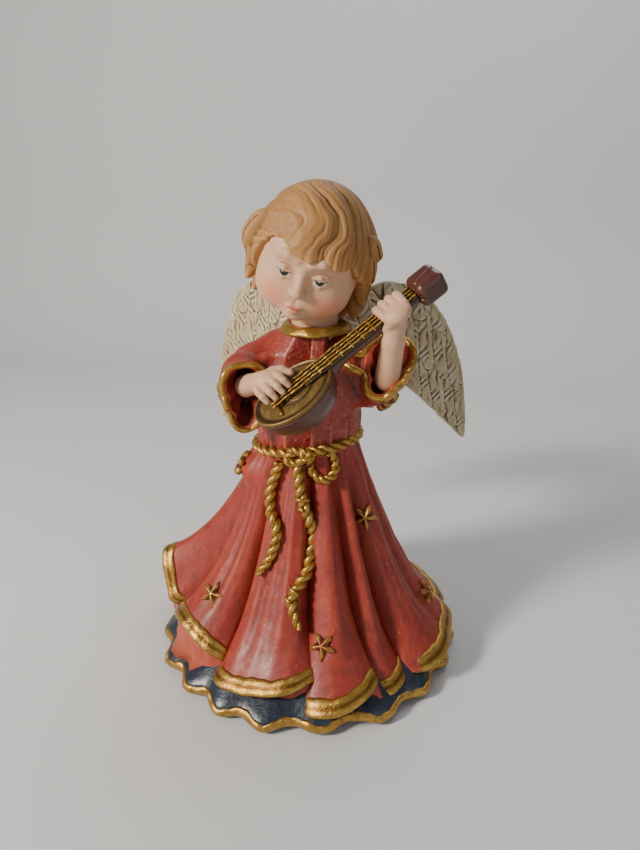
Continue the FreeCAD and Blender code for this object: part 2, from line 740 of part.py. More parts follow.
left_centre = MANDOLIN.multVec(Vector(NECK_END - 7.5, -0.75 * value("neck_wide"), 3.0))
left_wrist = LEFT_MOUTH - Vector(0, 0, 4.0)
left_hand = make_hand("left_hand", left_wrist, left_centre, left_centre - left_wrist,
                      Vector(0.1, -0.95, 0.2), 1.0, -1, -0.6)
feature("left_hand", trimmed(left_hand, mandolin_parts + [node_shape("left_sleeve"), node_shape("left_cuff")]))

# ---------------------------------------------------------------- head and hair

HEAD_TURN = FreeCAD.Rotation(Vector(0, 0, 1), value("head_turn")).multiply(
    FreeCAD.Rotation(Vector(0, 1, 0), value("head_roll"))).multiply(
    FreeCAD.Rotation(Vector(1, 0, 0), value("head_nod")))
HEAD_CENTRE = NECK_TOP + Vector(-0.5, 0.0, value("neck_tall") + value("skull_wide") / 2)


def head_ball(offset, radius, poles=Vector(0, 0, 1)):
    """Ball placed in the head's own directions.

    It is made as two halves, so that no face closes on itself and every cut leaves a plain outline."""
    half = Part.makeSphere(radius, Vector(0, 0, 0), poles, -90, 90, 180)
    other = half.copy()
    other.rotate(Vector(0, 0, 0), poles, 180)
    ball = half.fuse(other)
    ball.Placement = FreeCAD.Placement(HEAD_CENTRE + HEAD_TURN.multVec(offset), HEAD_TURN)
    return ball


def make_head():
    skull_radius = value("skull_wide") / 2
    skull = head_ball(Vector(0, 0, 0), skull_radius)
    jaw = head_ball(Vector(0, -0.50 * skull_radius, -0.58 * skull_radius), value("chin_radius"))
    foot = NECK_TOP - Vector(0, 0, value("plug_deep") - value("glue_gap"))
    neck = Part.makeCylinder(value("neck_radius"), (HEAD_CENTRE - foot).z, foot)
    head = skull.fuse(jaw).fuse(neck)
    # the poles of the cap lie inside the curls at the ears
    cap = head_ball(Vector(0, 0.3, 0.6), skull_radius + value("hair_thick"), Vector(1, 0, 0))
    for x, y, z, r in ((-0.92, -0.03, -0.10, 0.34), (0.92, -0.03, -0.12, 0.34), (-0.8, 0.3, -0.5, 0.34),
                       (0.8, 0.3, -0.55, 0.34), (0.0, 0.75, -0.55, 0.46)):
        cap = cap.fuse(head_ball(Vector(x, y, z) * skull_radius, r * skull_radius))
    face = head_ball(Vector(0, -1.22, -0.54) * skull_radius, 0.98 * skull_radius)
    throat = Part.makeBox(1.7, 3.0, 3.0, Vector(-0.85, -3.05, -3.45))
    throat.scale(skull_radius, Vector(0, 0, 0))
    throat.Placement = FreeCAD.Placement(HEAD_CENTRE, HEAD_TURN).multiply(throat.Placement)
    top = HEAD_CENTRE.z
    under = Part.makeCylinder(2.2 * value("collar_radius"), top, NECK_TOP - Vector(0, 0, top - 1.0))
    cap = trimmed(cap, [face, throat, head, under])
    feature("head", head)
    return cap


hair_shape = make_head()

# ---------------------------------------------------------------- collar

collar_ring = Part.makeTorus(value("collar_radius"), value("collar_thick"), NECK_TOP + Vector(0, 0, 0.3))

# ---------------------------------------------------------------- rope belt, knot, loop and hanging ends

ROPE = value("rope_radius")


def rope_run(points, radius):
    """Rope of round section through points, as straight runs joined by tangent arcs."""
    edges = []
    last = points[0]
    for i in range(1, len(points) - 1):
        before = (points[i - 1] - points[i])
        after = (points[i + 1] - points[i])
        cut = 0.45 * min(before.Length, after.Length)
        start = points[i] + before.normalize() * cut
        end = points[i] + after.normalize() * cut
        middle = points[i] + (before + after).normalize() * 0.0
        angle = before.getAngle(after)
        bend = cut * math.tan(angle / 2)
        inward = (before + after).normalize()
        middle = points[i] + inward * (cut / math.cos(angle / 2) - bend)
        edges.append(Part.LineSegment(last, start).toShape())
        edges.append(Part.Arc(start, middle, end).toShape())
        last = end
    edges.append(Part.LineSegment(last, points[-1]).toShape())
    path = Part.Wire(edges)
    profile = Part.Wire([Part.Circle(points[0], points[1] - points[0], radius).toShape()])
    return path.makePipeShell([profile], True, False)


def on_skirt(angle, share, clear):
    return skirt_point(angle, share) + skirt_normal(angle, share) * clear


def make_ropes(tools):
    """The girdle of twisted rope: belt, knot, bow loop and two hanging ends."""
    girdle = ellipse_outline(Vector(0, 0, WAIST_Z), value("waist_wide") / 2 + 0.4 * ROPE,
                             value("waist_deep") / 2 + 0.4 * ROPE, value("waist_slope"))
    start = girdle.valueAt(girdle.FirstParameter)
    tangent = girdle.tangentAt(girdle.FirstParameter)
    profile = Part.Wire([Part.Circle(start, tangent, ROPE).toShape()])
    belt = Part.Wire([girdle]).makePipeShell([profile], True, False)
    feature("rope_belt", trimmed(belt, tools))
    front = Vector(0, -value("waist_deep") / 2 - 1.2 * ROPE, WAIST_Z - 0.3)
    knot = Part.makeSphere(1.0)
    stretch = FreeCAD.Matrix()
    stretch.scale(Vector(2.6 * ROPE, 1.5 * ROPE, 1.9 * ROPE))
    knot = knot.transformGeometry(stretch)
    knot.translate(front)
    tools = tools + [node_shape("rope_belt")]
    feature("rope_knot", trimmed(knot, tools))
    tools = tools + [node_shape("rope_knot")]
    for name, points in (
        ("rope_end_right", [(-107, 0.07), (-112, 0.16), (-108, 0.27), (-99, 0.36), (-103, 0.48), (-108, 0.55)]),
        ("rope_end_left", [(-88, 0.07), (-84, 0.20), (-80, 0.32), (-76, 0.42), (-80, 0.56), (-86, 0.66), (-82, 0.79)]),
        ("rope_loop", [(-74, 0.05), (-68, 0.10), (-58, 0.14), (-50, 0.10), (-54, 0.03)]),
    ):
        run = [on_skirt(angle, share, 0.55 * ROPE) for angle, share in points]
        feature(name, trimmed(rope_run(run, ROPE), tools))
        tools = tools + [node_shape(name)]


doc.recompute()
bodice_shape = torso.cut(neck_socket).cut(wing_room)
skirt_shape = trimmed(skirt_shape, stars)
feature("skirt", skirt_shape)
feature("stars", Part.makeCompound(stars))
feature("bodice", trimmed(bodice_shape, [node_shape("mandolin_bowl")]))
make_ropes([skirt_shape, torso, bowl_shape])
feature("collar_band", trimmed(collar_ring, [torso, node_shape("head")]))
hair_tools = [node_shape(name) for name in ("left_wing", "right_wing", "collar_band")]
feature("hair", trimmed(hair_shape, hair_tools))

# ---------------------------------------------------------------- checks and files


def main():
    doc.recompute()
    for obj in doc.Objects:
        if "Invalid" in obj.State or "Error" in obj.State:
            raise RuntimeError(f"{obj.Label} did not compute: {obj.State}")
    os.makedirs("parts", exist_ok=True)
    for obj in NODES:
        shape = obj.Shape
        if shape.isNull() or not shape.isValid() or not shape.Solids:
            raise RuntimeError(f"{obj.Label} has no valid solid")
        box = shape.BoundBox
        print(f"{obj.Label:22s} solids {len(shape.Solids)} volume {shape.Volume:9.1f}"
              f"  x {box.XMin:6.1f}..{box.XMax:6.1f}  y {box.YMin:6.1f}..{box.YMax:6.1f}"
              f"  z {box.ZMin:6.1f}..{box.ZMax:6.1f}")
        shape.exportStep(os.path.join("parts", obj.Label + ".step"))


main()
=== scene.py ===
import json
import math

import bpy
import numpy as np
from mathutils import Matrix, Vector
from mathutils.bvhtree import BVHTree

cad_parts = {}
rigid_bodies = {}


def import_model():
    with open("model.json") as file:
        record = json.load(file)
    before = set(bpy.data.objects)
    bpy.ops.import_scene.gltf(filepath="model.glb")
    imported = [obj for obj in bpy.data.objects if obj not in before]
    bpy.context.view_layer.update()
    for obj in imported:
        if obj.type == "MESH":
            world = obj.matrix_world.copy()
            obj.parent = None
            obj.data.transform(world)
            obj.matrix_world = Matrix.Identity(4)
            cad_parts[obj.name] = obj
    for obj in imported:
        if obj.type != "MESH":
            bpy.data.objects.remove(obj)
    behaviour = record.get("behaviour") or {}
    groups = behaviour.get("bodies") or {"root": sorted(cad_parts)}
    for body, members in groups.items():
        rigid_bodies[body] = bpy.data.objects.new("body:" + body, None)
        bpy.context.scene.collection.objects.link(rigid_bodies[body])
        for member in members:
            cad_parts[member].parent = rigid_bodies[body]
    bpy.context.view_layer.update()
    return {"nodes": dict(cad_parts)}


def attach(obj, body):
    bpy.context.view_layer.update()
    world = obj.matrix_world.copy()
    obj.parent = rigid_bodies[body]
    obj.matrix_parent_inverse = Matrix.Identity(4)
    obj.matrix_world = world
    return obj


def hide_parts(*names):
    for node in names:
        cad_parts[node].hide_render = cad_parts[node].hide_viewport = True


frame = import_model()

# Cast resin angel with a mandolin. Shapes are worked out in millimetres in the frame of the
# CAD model (figure looks to -Y, its left hand is on +X, +Z up) and written to meshes in metres.

MM = 0.001
FAR = 9.0                     # distance that an empty clay block starts with


# ---------------------------------------------------------------- driving sizes, as in the CAD model

WAIST_Z, WAIST_SLOPE = 73.0, 2.2
WAIST_HALF = (15.5, 13.5)
TORSO_TALL = 35.0
NECK_TOP = np.array([3.0, -1.5, WAIST_Z + TORSO_TALL])
SKULL_WIDE, NECK_TALL = 33.2, 5.0
HEAD_CENTRE = NECK_TOP + (-0.5, 0.0, NECK_TALL + SKULL_WIDE / 2)
HEAD_TURN, HEAD_ROLL, HEAD_NOD = 6.0, 16.0, 12.0
WING_SPAN, WING_TALL = 54.0, 60.0
WING_ROOT = np.array([6.0, 11.72, 99.25])
WING_SWEEPS = {"left_wing": 36.0, "right_wing": -41.0}
BOWL_LONG, BOWL_WIDE, BOWL_DEEP = 25.0, 18.6, 11.5
BOARD_THICK, HOLE_RADIUS = 1.2, 2.9
NECK_WIDE, NECK_LONG, FRET_THICK = 5.6, 29.5, 0.9
NECK_END = BOWL_LONG / 2 + 0.1 + NECK_LONG
PEG_LONG, PEG_WIDE, PEG_DEEP = 8.5, 8.6, 7.4
ROPE, STRANDS = 1.65, 2
STAR_REACH = 4.4


# ---------------------------------------------------------------- numbers and curves

def unit(v):
    v = np.asarray(v, float)
    return v / np.linalg.norm(v)


def smooth_step(low, high, x):
    s = np.clip((x - low) / (high - low), 0.0, 1.0)
    return s * s * (3.0 - 2.0 * s)


def catmull(points, count, closed):
    """Evenly spread samples of a smooth curve through points; extra columns ride along."""
    p = np.asarray(points, float)
    n = len(p)
    spans = n if closed else n - 1
    gaps = [max(np.linalg.norm(p[(i + 1) % n, :3] - p[i, :3]), 1e-6) for i in range(spans)]
    knots = np.concatenate([[0.0], np.cumsum(gaps)])
    where = np.linspace(0.0, knots[-1], count, endpoint=not closed)
    index = np.clip(np.searchsorted(knots, where, side="right") - 1, 0, spans - 1)
    t = ((where - knots[index]) / (knots[index + 1] - knots[index]))[:, None]

    def at(i):
        return p[i % n] if closed else p[np.clip(i, 0, n - 1)]

    a, b, c, d = at(index - 1), at(index), at(index + 1), at(index + 2)
    square, cube = 2 * a - 5 * b + 4 * c - d, 3 * b - a - 3 * c + d
    return 0.5 * (2 * b + (c - a) * t + square * t ** 2 + cube * t ** 3)


def waves(x, y, z, size, seed, layers=3):
    """Cheap smooth noise about zero from sums of sines."""
    random = np.random.default_rng(seed)
    total = np.zeros(np.broadcast(x, y, z).shape)
    for layer in range(layers):
        way = random.normal(size=(4, 3))
        way *= (1.7 ** layer / size) / np.linalg.norm(way, axis=1, keepdims=True) * 6.28
        for k in range(4):
            total += np.sin(way[k, 0] * x + way[k, 1] * y + way[k, 2] * z
                            + random.uniform(0, 6.28)) / 1.7 ** layer
    return total / 8.0


# ---------------------------------------------------------------- clay: signed distances on a grid

class Clay:
    """A block of clay that is built up from soft shapes and turned into a mesh."""

    def __init__(self, low, high, step):
        self.low = np.asarray(low, float)
        self.step = step
        counts = np.ceil((np.asarray(high, float) - self.low) / step).astype(int) + 1
        self.dist = np.full(counts, FAR, np.float32)

    def window(self, low, high):
        first = np.maximum(np.floor((np.asarray(low) - self.low) / self.step).astype(int), 0)
        last = np.minimum(np.ceil((np.asarray(high) - self.low) / self.step).astype(int) + 1,
                          self.dist.shape)
        axes = [self.low[i] + self.step * np.arange(first[i], max(last[i], first[i])) for i in range(3)]
        part = tuple(slice(first[i], max(last[i], first[i])) for i in range(3))
        return part, axes[0][:, None, None], axes[1][None, :, None], axes[2][None, None, :]

    def blend(self, shape, low, high, soft, sign=1.0):
        """Adds (sign 1) or carves away (sign -1) a distance function, rounded by soft."""
        part, x, y, z = self.window(np.asarray(low) - soft - 1.0, np.asarray(high) + soft + 1.0)
        if 0 in self.dist[part].shape:
            return
        old = self.dist[part] * sign
        new = np.broadcast_to(shape(x, y, z), old.shape)
        mix = np.clip(0.5 + 0.5 * (old - new) / soft, 0.0, 1.0)
        self.dist[part] = (old + (new - old) * mix - soft * mix * (1.0 - mix)) * sign

    def ball(self, centre, radii, soft=1.0, sign=1.0):
        centre = np.asarray(centre, float)
        radii = np.broadcast_to(np.asarray(radii, float), 3)

        def shape(x, y, z):
            q = [x - centre[0], y - centre[1], z - centre[2]]
            near = np.sqrt(sum((q[i] / radii[i]) ** 2 for i in range(3)))
            slope = np.sqrt(sum((q[i] / radii[i] ** 2) ** 2 for i in range(3)))
            return near * (near - 1.0) / np.maximum(slope, 1e-6)

        self.blend(shape, centre - radii, centre + radii, soft, sign)

    def rod(self, points, radii, soft=0.8, sign=1.0):
        """Round rod through points, with a radius at each."""
        points = np.asarray(points, float)
        radii = np.broadcast_to(np.asarray(radii, float), len(points))
        for a, b, ra, rb in zip(points, points[1:], radii, radii[1:]):
            run = b - a
            square = max(float(run @ run), 1e-9)

            def shape(x, y, z, a=a, run=run, square=square, ra=ra, rb=rb):
                q = [x - a[0], y - a[1], z - a[2]]
                t = np.clip((q[0] * run[0] + q[1] * run[1] + q[2] * run[2]) / square, 0.0, 1.0)
                return np.sqrt(sum((q[i] - t * run[i]) ** 2 for i in range(3))) - (ra + (rb - ra) * t)

            big = max(ra, rb)
            self.blend(shape, np.minimum(a, b) - big, np.maximum(a, b) + big, soft, sign)

    def mesh(self):
        """Surface nets: one vertex in each cell that the surface crosses."""
        d = self.dist
        solid = d < 0
        corners = [(i, j, k) for i in (0, 1) for j in (0, 1) for k in (0, 1)]
        nx, ny, nz = (n - 1 for n in d.shape)
        count = sum(solid[i:nx + i, j:ny + j, k:nz + k].astype(np.int8) for i, j, k in corners)
        cells = np.argwhere((count > 0) & (count < 8))
        index = np.full((nx, ny, nz), -1, np.int64)
        index[tuple(cells.T)] = np.arange(len(cells))
        place = np.zeros((len(cells), 3))
        hits = np.zeros(len(cells))
        for a in corners:
            for axis in range(3):
                if a[axis]:
                    continue
                b = list(a)
                b[axis] = 1
                da = d[tuple((cells + a).T)]
                db = d[tuple((cells + b).T)]
                crossed = (da < 0) != (db < 0)
                share = np.where(crossed, da / np.where(crossed, da - db, 1.0), 0.0)
                spot = np.asarray(a, float) + share[:, None] * (np.asarray(b) - np.asarray(a))
                place[crossed] += spot[crossed]
                hits += crossed
        verts = self.low + self.step * (cells + place / hits[:, None])
        faces = []
        for axis in range(3):
            u, v = (axis + 1) % 3, (axis + 2) % 3
            one = [slice(None)] * 3
            two = [slice(None)] * 3
            one[axis], two[axis] = slice(0, -1), slice(1, None)
            lower, upper = solid[tuple(one)], solid[tuple(two)]
            edges = np.argwhere(lower != upper)
            limit = [nx, ny, nz]
            edges = edges[(edges[:, u] > 0) & (edges[:, v] > 0) & (edges[:, u] < limit[u])
                          & (edges[:, v] < limit[v])]
            ring = []
            for du, dv in ((0, 0), (-1, 0), (-1, -1), (0, -1)):
                cell = edges.copy()
                cell[:, u] += du
                cell[:, v] += dv
                ring.append(index[tuple(cell.T)])
            quads = np.stack(ring, 1)
            flip = lower[tuple(edges.T)]
            quads[flip] = quads[flip][:, ::-1]
            faces.append(quads[:, ::-1])
        return verts, np.concatenate(faces)


# ---------------------------------------------------------------- meshes and pieces

def grid_faces(rows, columns, close_rows=False):
    """Quads of a grid of points whose columns close on themselves."""
    i = np.arange(rows if close_rows else rows - 1)[:, None]
    j = np.arange(columns)[None, :]
    a = i * columns + j
    b = i * columns + (j + 1) % columns
    c = ((i + 1) % rows) * columns + (j + 1) % columns
    e = ((i + 1) % rows) * columns + j
    return np.stack([a, b, c, e], -1).reshape(-1, 4)


def enclosed(verts, faces):
    """Signed volume inside closed faces; negative if they face inwards."""
    v = np.asarray(verts, float)
    quads = np.array([f for f in faces if len(f) == 4])
    thirds = [quads[:, [0, 1, 2]], quads[:, [0, 2, 3]]]
    if any(len(f) == 3 for f in faces):
        thirds.append(np.array([f for f in faces if len(f) == 3]))
    a, b, c = (v[np.concatenate(thirds)[:, k]] for k in range(3))
    return float((a * np.cross(b, c)).sum())


TUBE_START = (0.31, 0.42, 0.85)
ROPE_START = (0.2, -0.9, 0.3)


def carried_frame(ahead, start):
    """Two side directions carried along a path without twist, from unit steps along it."""
    across = np.zeros_like(ahead)
    last = np.cross(ahead[0], start)
    for k in range(len(ahead)):
        last = last - ahead[k] * (last @ ahead[k])
        last /= np.linalg.norm(last)
        across[k] = last
    return across, np.cross(ahead, across)


class Stuff:
    """Vertices and faces of several shapes, gathered into one mesh."""

    def __init__(self):
        self.verts, self.faces, self.count = [], [], 0

    def add(self, verts, faces):
        verts = np.asarray(verts, float).reshape(-1, 3)
        self.verts.append(verts)
        self.faces += [[int(v) + self.count for v in face] for face in faces]
        self.count += len(verts)
        return self

    def grid(self, points, close_rows=False, cap_first=False, cap_last=False):
        """Adds a closed grid of points, with the first and last rows closed by a fan where asked."""
        points = np.asarray(points, float)
        rows, columns = points.shape[:2]
        faces = [list(f) for f in grid_faces(rows, columns, close_rows)]
        verts = list(points.reshape(-1, 3))
        for wanted, row in ((cap_first, 0), (cap_last, rows - 1)):
            if wanted:
                verts.append(points[row].mean(0))
                hub = len(verts) - 1
                for j in range(columns):
                    a, b = row * columns + j, row * columns + (j + 1) % columns
                    faces.append([b, a, hub] if row == 0 else [a, b, hub])
        if enclosed(verts, faces) < 0:
            faces = [f[::-1] for f in faces]
        return self.add(verts, faces)

    def tube(self, path, radius, sides):
        """Round tube along an open path; radius may vary along it."""
        path = np.asarray(path, float)
        n = len(path)
        ahead = np.roll(path, -1, 0) - np.roll(path, 1, 0)
        ahead[0], ahead[-1] = path[1] - path[0], path[-1] - path[-2]
        ahead /= np.linalg.norm(ahead, axis=1, keepdims=True)
        across, high = carried_frame(ahead, TUBE_START)
        girth = np.broadcast_to(np.asarray(radius, float), n)
        turn = np.linspace(0, 2 * np.pi, sides, endpoint=False)
        ring = (path[:, None] + across[:, None] * (girth[:, None] * np.cos(turn))[..., None]
                + high[:, None] * (girth[:, None] * np.sin(turn))[..., None])
        return self.grid(ring, cap_first=True, cap_last=True)


def build(name, verts, faces, material, nodes, slot, wash_and_painted_light=(3, 30)):
    """Makes one piece of the figurine that stands for the named CAD nodes."""
    mesh = bpy.data.meshes.new(name)
    verts = np.asarray(verts, float)
    mesh.from_pydata((verts * MM).tolist(), [], [list(map(int, f)) for f in faces])
    mesh.validate()
    mesh.update()
    mesh.polygons.foreach_set("use_smooth", np.ones(len(mesh.polygons), bool))
    mesh.materials.append(material)
    obj = bpy.data.objects.new(name, mesh)
    bpy.context.scene.collection.objects.link(obj)
    paint_depths(mesh, wash_and_painted_light)
    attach(obj, "root")
    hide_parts(*nodes)
    return obj


def build_clay(name, clay, place, material, nodes, slot, wash_and_painted_light=(3, 30)):
    """Builds a clay block's mesh; place turns its points into the figurine's frame."""
    verts, faces = clay.mesh()
    return build(name, place(verts), faces, material, nodes, slot, wash_and_painted_light)


def build_stuff(name, stuff, material, nodes, slot, wash_and_painted_light=(3, 30)):
    return build(name, np.concatenate(stuff.verts), stuff.faces, material, nodes, slot, wash_and_painted_light)


def paint_depths(mesh, passes):
    """Stores how deep each point lies below the smoothed surface: groove is fine, hollow broad."""
    count = len(mesh.vertices)
    place = np.empty(count * 3)
    mesh.vertices.foreach_get("co", place)
    place = place.reshape(-1, 3) / MM
    edges = np.empty(len(mesh.edges) * 2, np.int32)
    mesh.edges.foreach_get("vertices", edges)
    one, two = edges.reshape(-1, 2).T
    normal = np.empty(count * 3)
    mesh.vertices.foreach_get("normal", normal)
    normal = normal.reshape(-1, 3)
    share = np.maximum(np.bincount(one, minlength=count) + np.bincount(two, minlength=count), 1)
    smooth = place.copy()
    done = 0
    for label, target in zip(("groove", "hollow"), passes):
        for _ in range(target - done):
            smooth = np.stack([(np.bincount(one, smooth[two, k], count)
                                + np.bincount(two, smooth[one, k], count))
                               / share for k in range(3)], 1)
        done = target
        depth = ((smooth - place) * normal).sum(1)
        layer = mesh.attributes.new(label, "FLOAT", "POINT")
        layer.data.foreach_set("value", depth.astype(np.float32))


# ---------------------------------------------------------------- paints

def add_node(tree, kind, inputs=None, **settings):
    made = tree.nodes.new(kind)
    for key, setting in settings.items():
        setattr(made, key, setting)
    for key, setting in (inputs or {}).items():
        socket = made.inputs[key]
        if isinstance(setting, bpy.types.NodeSocket):
            tree.links.new(setting, socket)
        else:
            socket.default_value = setting
    return made


def ramp(tree, source, low, high, out_low=0.0, out_high=1.0):
    return add_node(tree, "ShaderNodeMapRange", {"Value": source, "From Min": low, "From Max": high,
                                                 "To Min": out_low,
                                                 "To Max": out_high}).outputs["Result"]


def mix(tree, factor, first, second, mode="MIX"):
    made = add_node(tree, "ShaderNodeMix", {0: factor, 6: first, 7: second}, data_type="RGBA",
                    blend_type=mode)
    return made.outputs[2]


def math_node(tree, operation, first, second):
    return add_node(tree, "ShaderNodeMath", {0: first, 1: second}, operation=operation).outputs[0]


def noise(tree, where, scale, detail=4.0, rough=0.6, distortion=0.0):
    return add_node(tree, "ShaderNodeTexNoise", {"Vector": where, "Scale": scale, "Detail": detail,
                                                 "Roughness": rough,
                                                 "Distortion": distortion}).outputs["Fac"]


def attribute(tree, label):
    return add_node(tree, "ShaderNodeAttribute", attribute_name=label).outputs["Fac"]


def rgb(red, green, blue):
    """sRGB shares from 0 to 255 as a linear colour."""
    return tuple((c / 255 / 12.92) if c <= 10 else ((c / 255 + 0.055) / 1.055) ** 2.4
                 for c in (red, green, blue)) + (1.0,)


class Paint:
    """A painted resin material: a base colour, darker colour in the grooves (a wash, and on the robe also painted
    shade), lighter colour on the ridges (dry brush, and on the robe and the gold also a painted highlight).
    """

    def __init__(self, name, base, second, patch=90.0, rough=0.5, metallic=0.0, coat=0.0, sheen=0.0):
        self.material = bpy.data.materials.new(name)
        self.material.use_nodes = True
        self.tree = self.material.node_tree
        self.shader = self.tree.nodes["Principled BSDF"]
        self.where = add_node(self.tree, "ShaderNodeTexCoord").outputs["Object"]
        patches = ramp(self.tree, noise(self.tree, self.where, patch, 5.0), 0.32, 0.68)
        self.colour = mix(self.tree, patches, base, second)
        self.bumps = []
        self.metal = metallic
        self.rough_noise = noise(self.tree, self.where, 650.0, 3.0)
        self.rough = ramp(self.tree, self.rough_noise, 0.3, 0.7, rough - 0.08, rough + 0.10)
        self.shader.inputs["Coat Weight"].default_value = coat
        self.shader.inputs["Coat Roughness"].default_value = 0.25
        self.shader.inputs["Sheen Weight"].default_value = sheen

    def wash_and_painted_light(self, label, low, high, colour, strength):
        """Colour laid where the depth attribute passes from low to high, in millimetres; it serves for real
        washes and patina and also for painted shade and painted highlights.
        """
        depth = ramp(self.tree, attribute(self.tree, label), low, high, 0.0, strength)
        breakup = ramp(self.tree, noise(self.tree, self.where, 420.0, 4.0), 0.25, 0.6, 0.55, 1.0)
        self.colour = mix(self.tree, math_node(self.tree, "MULTIPLY", depth, breakup), self.colour,
                          colour)
        return depth

    def layer(self, factor, colour):
        self.colour = mix(self.tree, factor, self.colour, colour)

    def specks(self, scale, threshold, colour, strength):
        cell = add_node(self.tree, "ShaderNodeTexVoronoi",
                        {"Vector": self.where, "Scale": scale}).outputs["Distance"]
        spot = ramp(self.tree, cell, threshold, threshold * 0.5, 0.0, strength)
        rare = ramp(self.tree, noise(self.tree, self.where, scale * 0.6, 1.0), 0.55, 0.62)
        self.colour = mix(self.tree, math_node(self.tree, "MULTIPLY", spot, rare), self.colour, colour)

    def streaks(self, stretch, scale, low, high, colour, strength):
        """Long brush marks: noise squeezed across and drawn out along the axes of stretch."""
        placed = add_node(self.tree, "ShaderNodeMapping",
                          {"Vector": self.where, "Scale": stretch}).outputs[0]
        mark = ramp(self.tree, noise(self.tree, placed, scale, 5.0, 0.65), low, high, 0.0, strength)
        self.colour = mix(self.tree, mark, self.colour, colour)
        return mark

    def bump(self, height, distance_mm, strength=1.0):
        self.bumps.append((height, distance_mm, strength))

    def grain(self, scale, detail, distance_mm, strength, rough=0.6):
        self.bump(noise(self.tree, self.where, scale, detail, rough), distance_mm, strength)

    def done(self):
        tree = self.tree
        normal = None
        for height, distance, strength in self.bumps:
            inputs = {"Height": height, "Distance": distance * MM, "Strength": strength}
            if normal is not None:
                inputs["Normal"] = normal
            normal = add_node(tree, "ShaderNodeBump", inputs).outputs["Normal"]
        if normal is not None:
            tree.links.new(normal, self.shader.inputs["Normal"])
        tree.links.new(self.colour, self.shader.inputs["Base Color"])
        tree.links.new(self.rough, self.shader.inputs["Roughness"])
        if isinstance(self.metal, bpy.types.NodeSocket):
            tree.links.new(self.metal, self.shader.inputs["Metallic"])
        else:
            self.shader.inputs["Metallic"].default_value = self.metal
        return self.material


def red_robe(name, gloss=0.0):
    paint = Paint(name, rgb(158, 50, 30), rgb(138, 38, 24), patch=60.0, rough=0.52 - 0.14 * gloss,
                  coat=0.08 + 0.4 * gloss)
    paint.streaks((1.0, 1.0, 0.16), 700.0, 0.52, 0.74, rgb(182, 78, 48), 0.50)
    paint.streaks((1.0, 1.0, 0.12), 520.0, 0.52, 0.70, rgb(92, 26, 18), 0.65)
    paint.streaks((1.0, 1.0, 0.5), 160.0, 0.55, 0.80, rgb(126, 52, 42), 0.45)
    # Darker in the fine grooves and broad hollows: a dark wash, and also painted shade in the folds. Lighter on
    # the ridges: dry brush, and also a painted highlight.
    paint.wash_and_painted_light("groove", 0.012, 0.10, rgb(62, 16, 12), 0.88)
    paint.wash_and_painted_light("hollow", 0.12, 1.1, rgb(68, 18, 14), 0.90)
    paint.wash_and_painted_light("groove", -0.02, -0.12, rgb(196, 96, 64), 0.50)
    paint.specks(900.0, 0.22, rgb(60, 34, 38), 0.8)
    paint.specks(620.0, 0.16, rgb(222, 152, 130), 0.5)
    paint.grain(900.0, 4.0, 0.10, 0.5)
    paint.grain(180.0, 3.0, 0.5, 0.35)
    return paint


def gold_paint(name="gold_leaf", worn=0.0):
    paint = Paint(name, rgb(140, 98, 36), rgb(110, 74, 26), patch=260.0, rough=0.33)
    # Dark patina in the grooves and hollows; the lighter gold on the ridges is a painted highlight.
    paint.wash_and_painted_light("groove", 0.008, 0.09, rgb(44, 26, 12), 0.92)
    paint.wash_and_painted_light("hollow", 0.08, 0.6, rgb(58, 36, 18), 0.70)
    paint.wash_and_painted_light("groove", -0.01, -0.09, rgb(208, 164, 82), 0.70)
    leaf = noise(paint.tree, paint.where, 900.0, 5.0, 0.7)
    paint.layer(ramp(paint.tree, leaf, 0.53, 0.70, 0.0, 0.80), rgb(64, 40, 20))
    if worn:
        paint.layer(ramp(paint.tree, noise(paint.tree, paint.where, 420.0, 3.0), 0.42, 0.60, 0.0, worn),
                    rgb(150, 62, 42))
    paint.metal = ramp(paint.tree, leaf, 0.53, 0.70, 0.85 - 0.35 * worn, 0.35)
    paint.grain(1500.0, 5.0, 0.18, 0.7, rough=0.7)
    paint.grain(320.0, 3.0, 0.4, 0.6)
    return paint


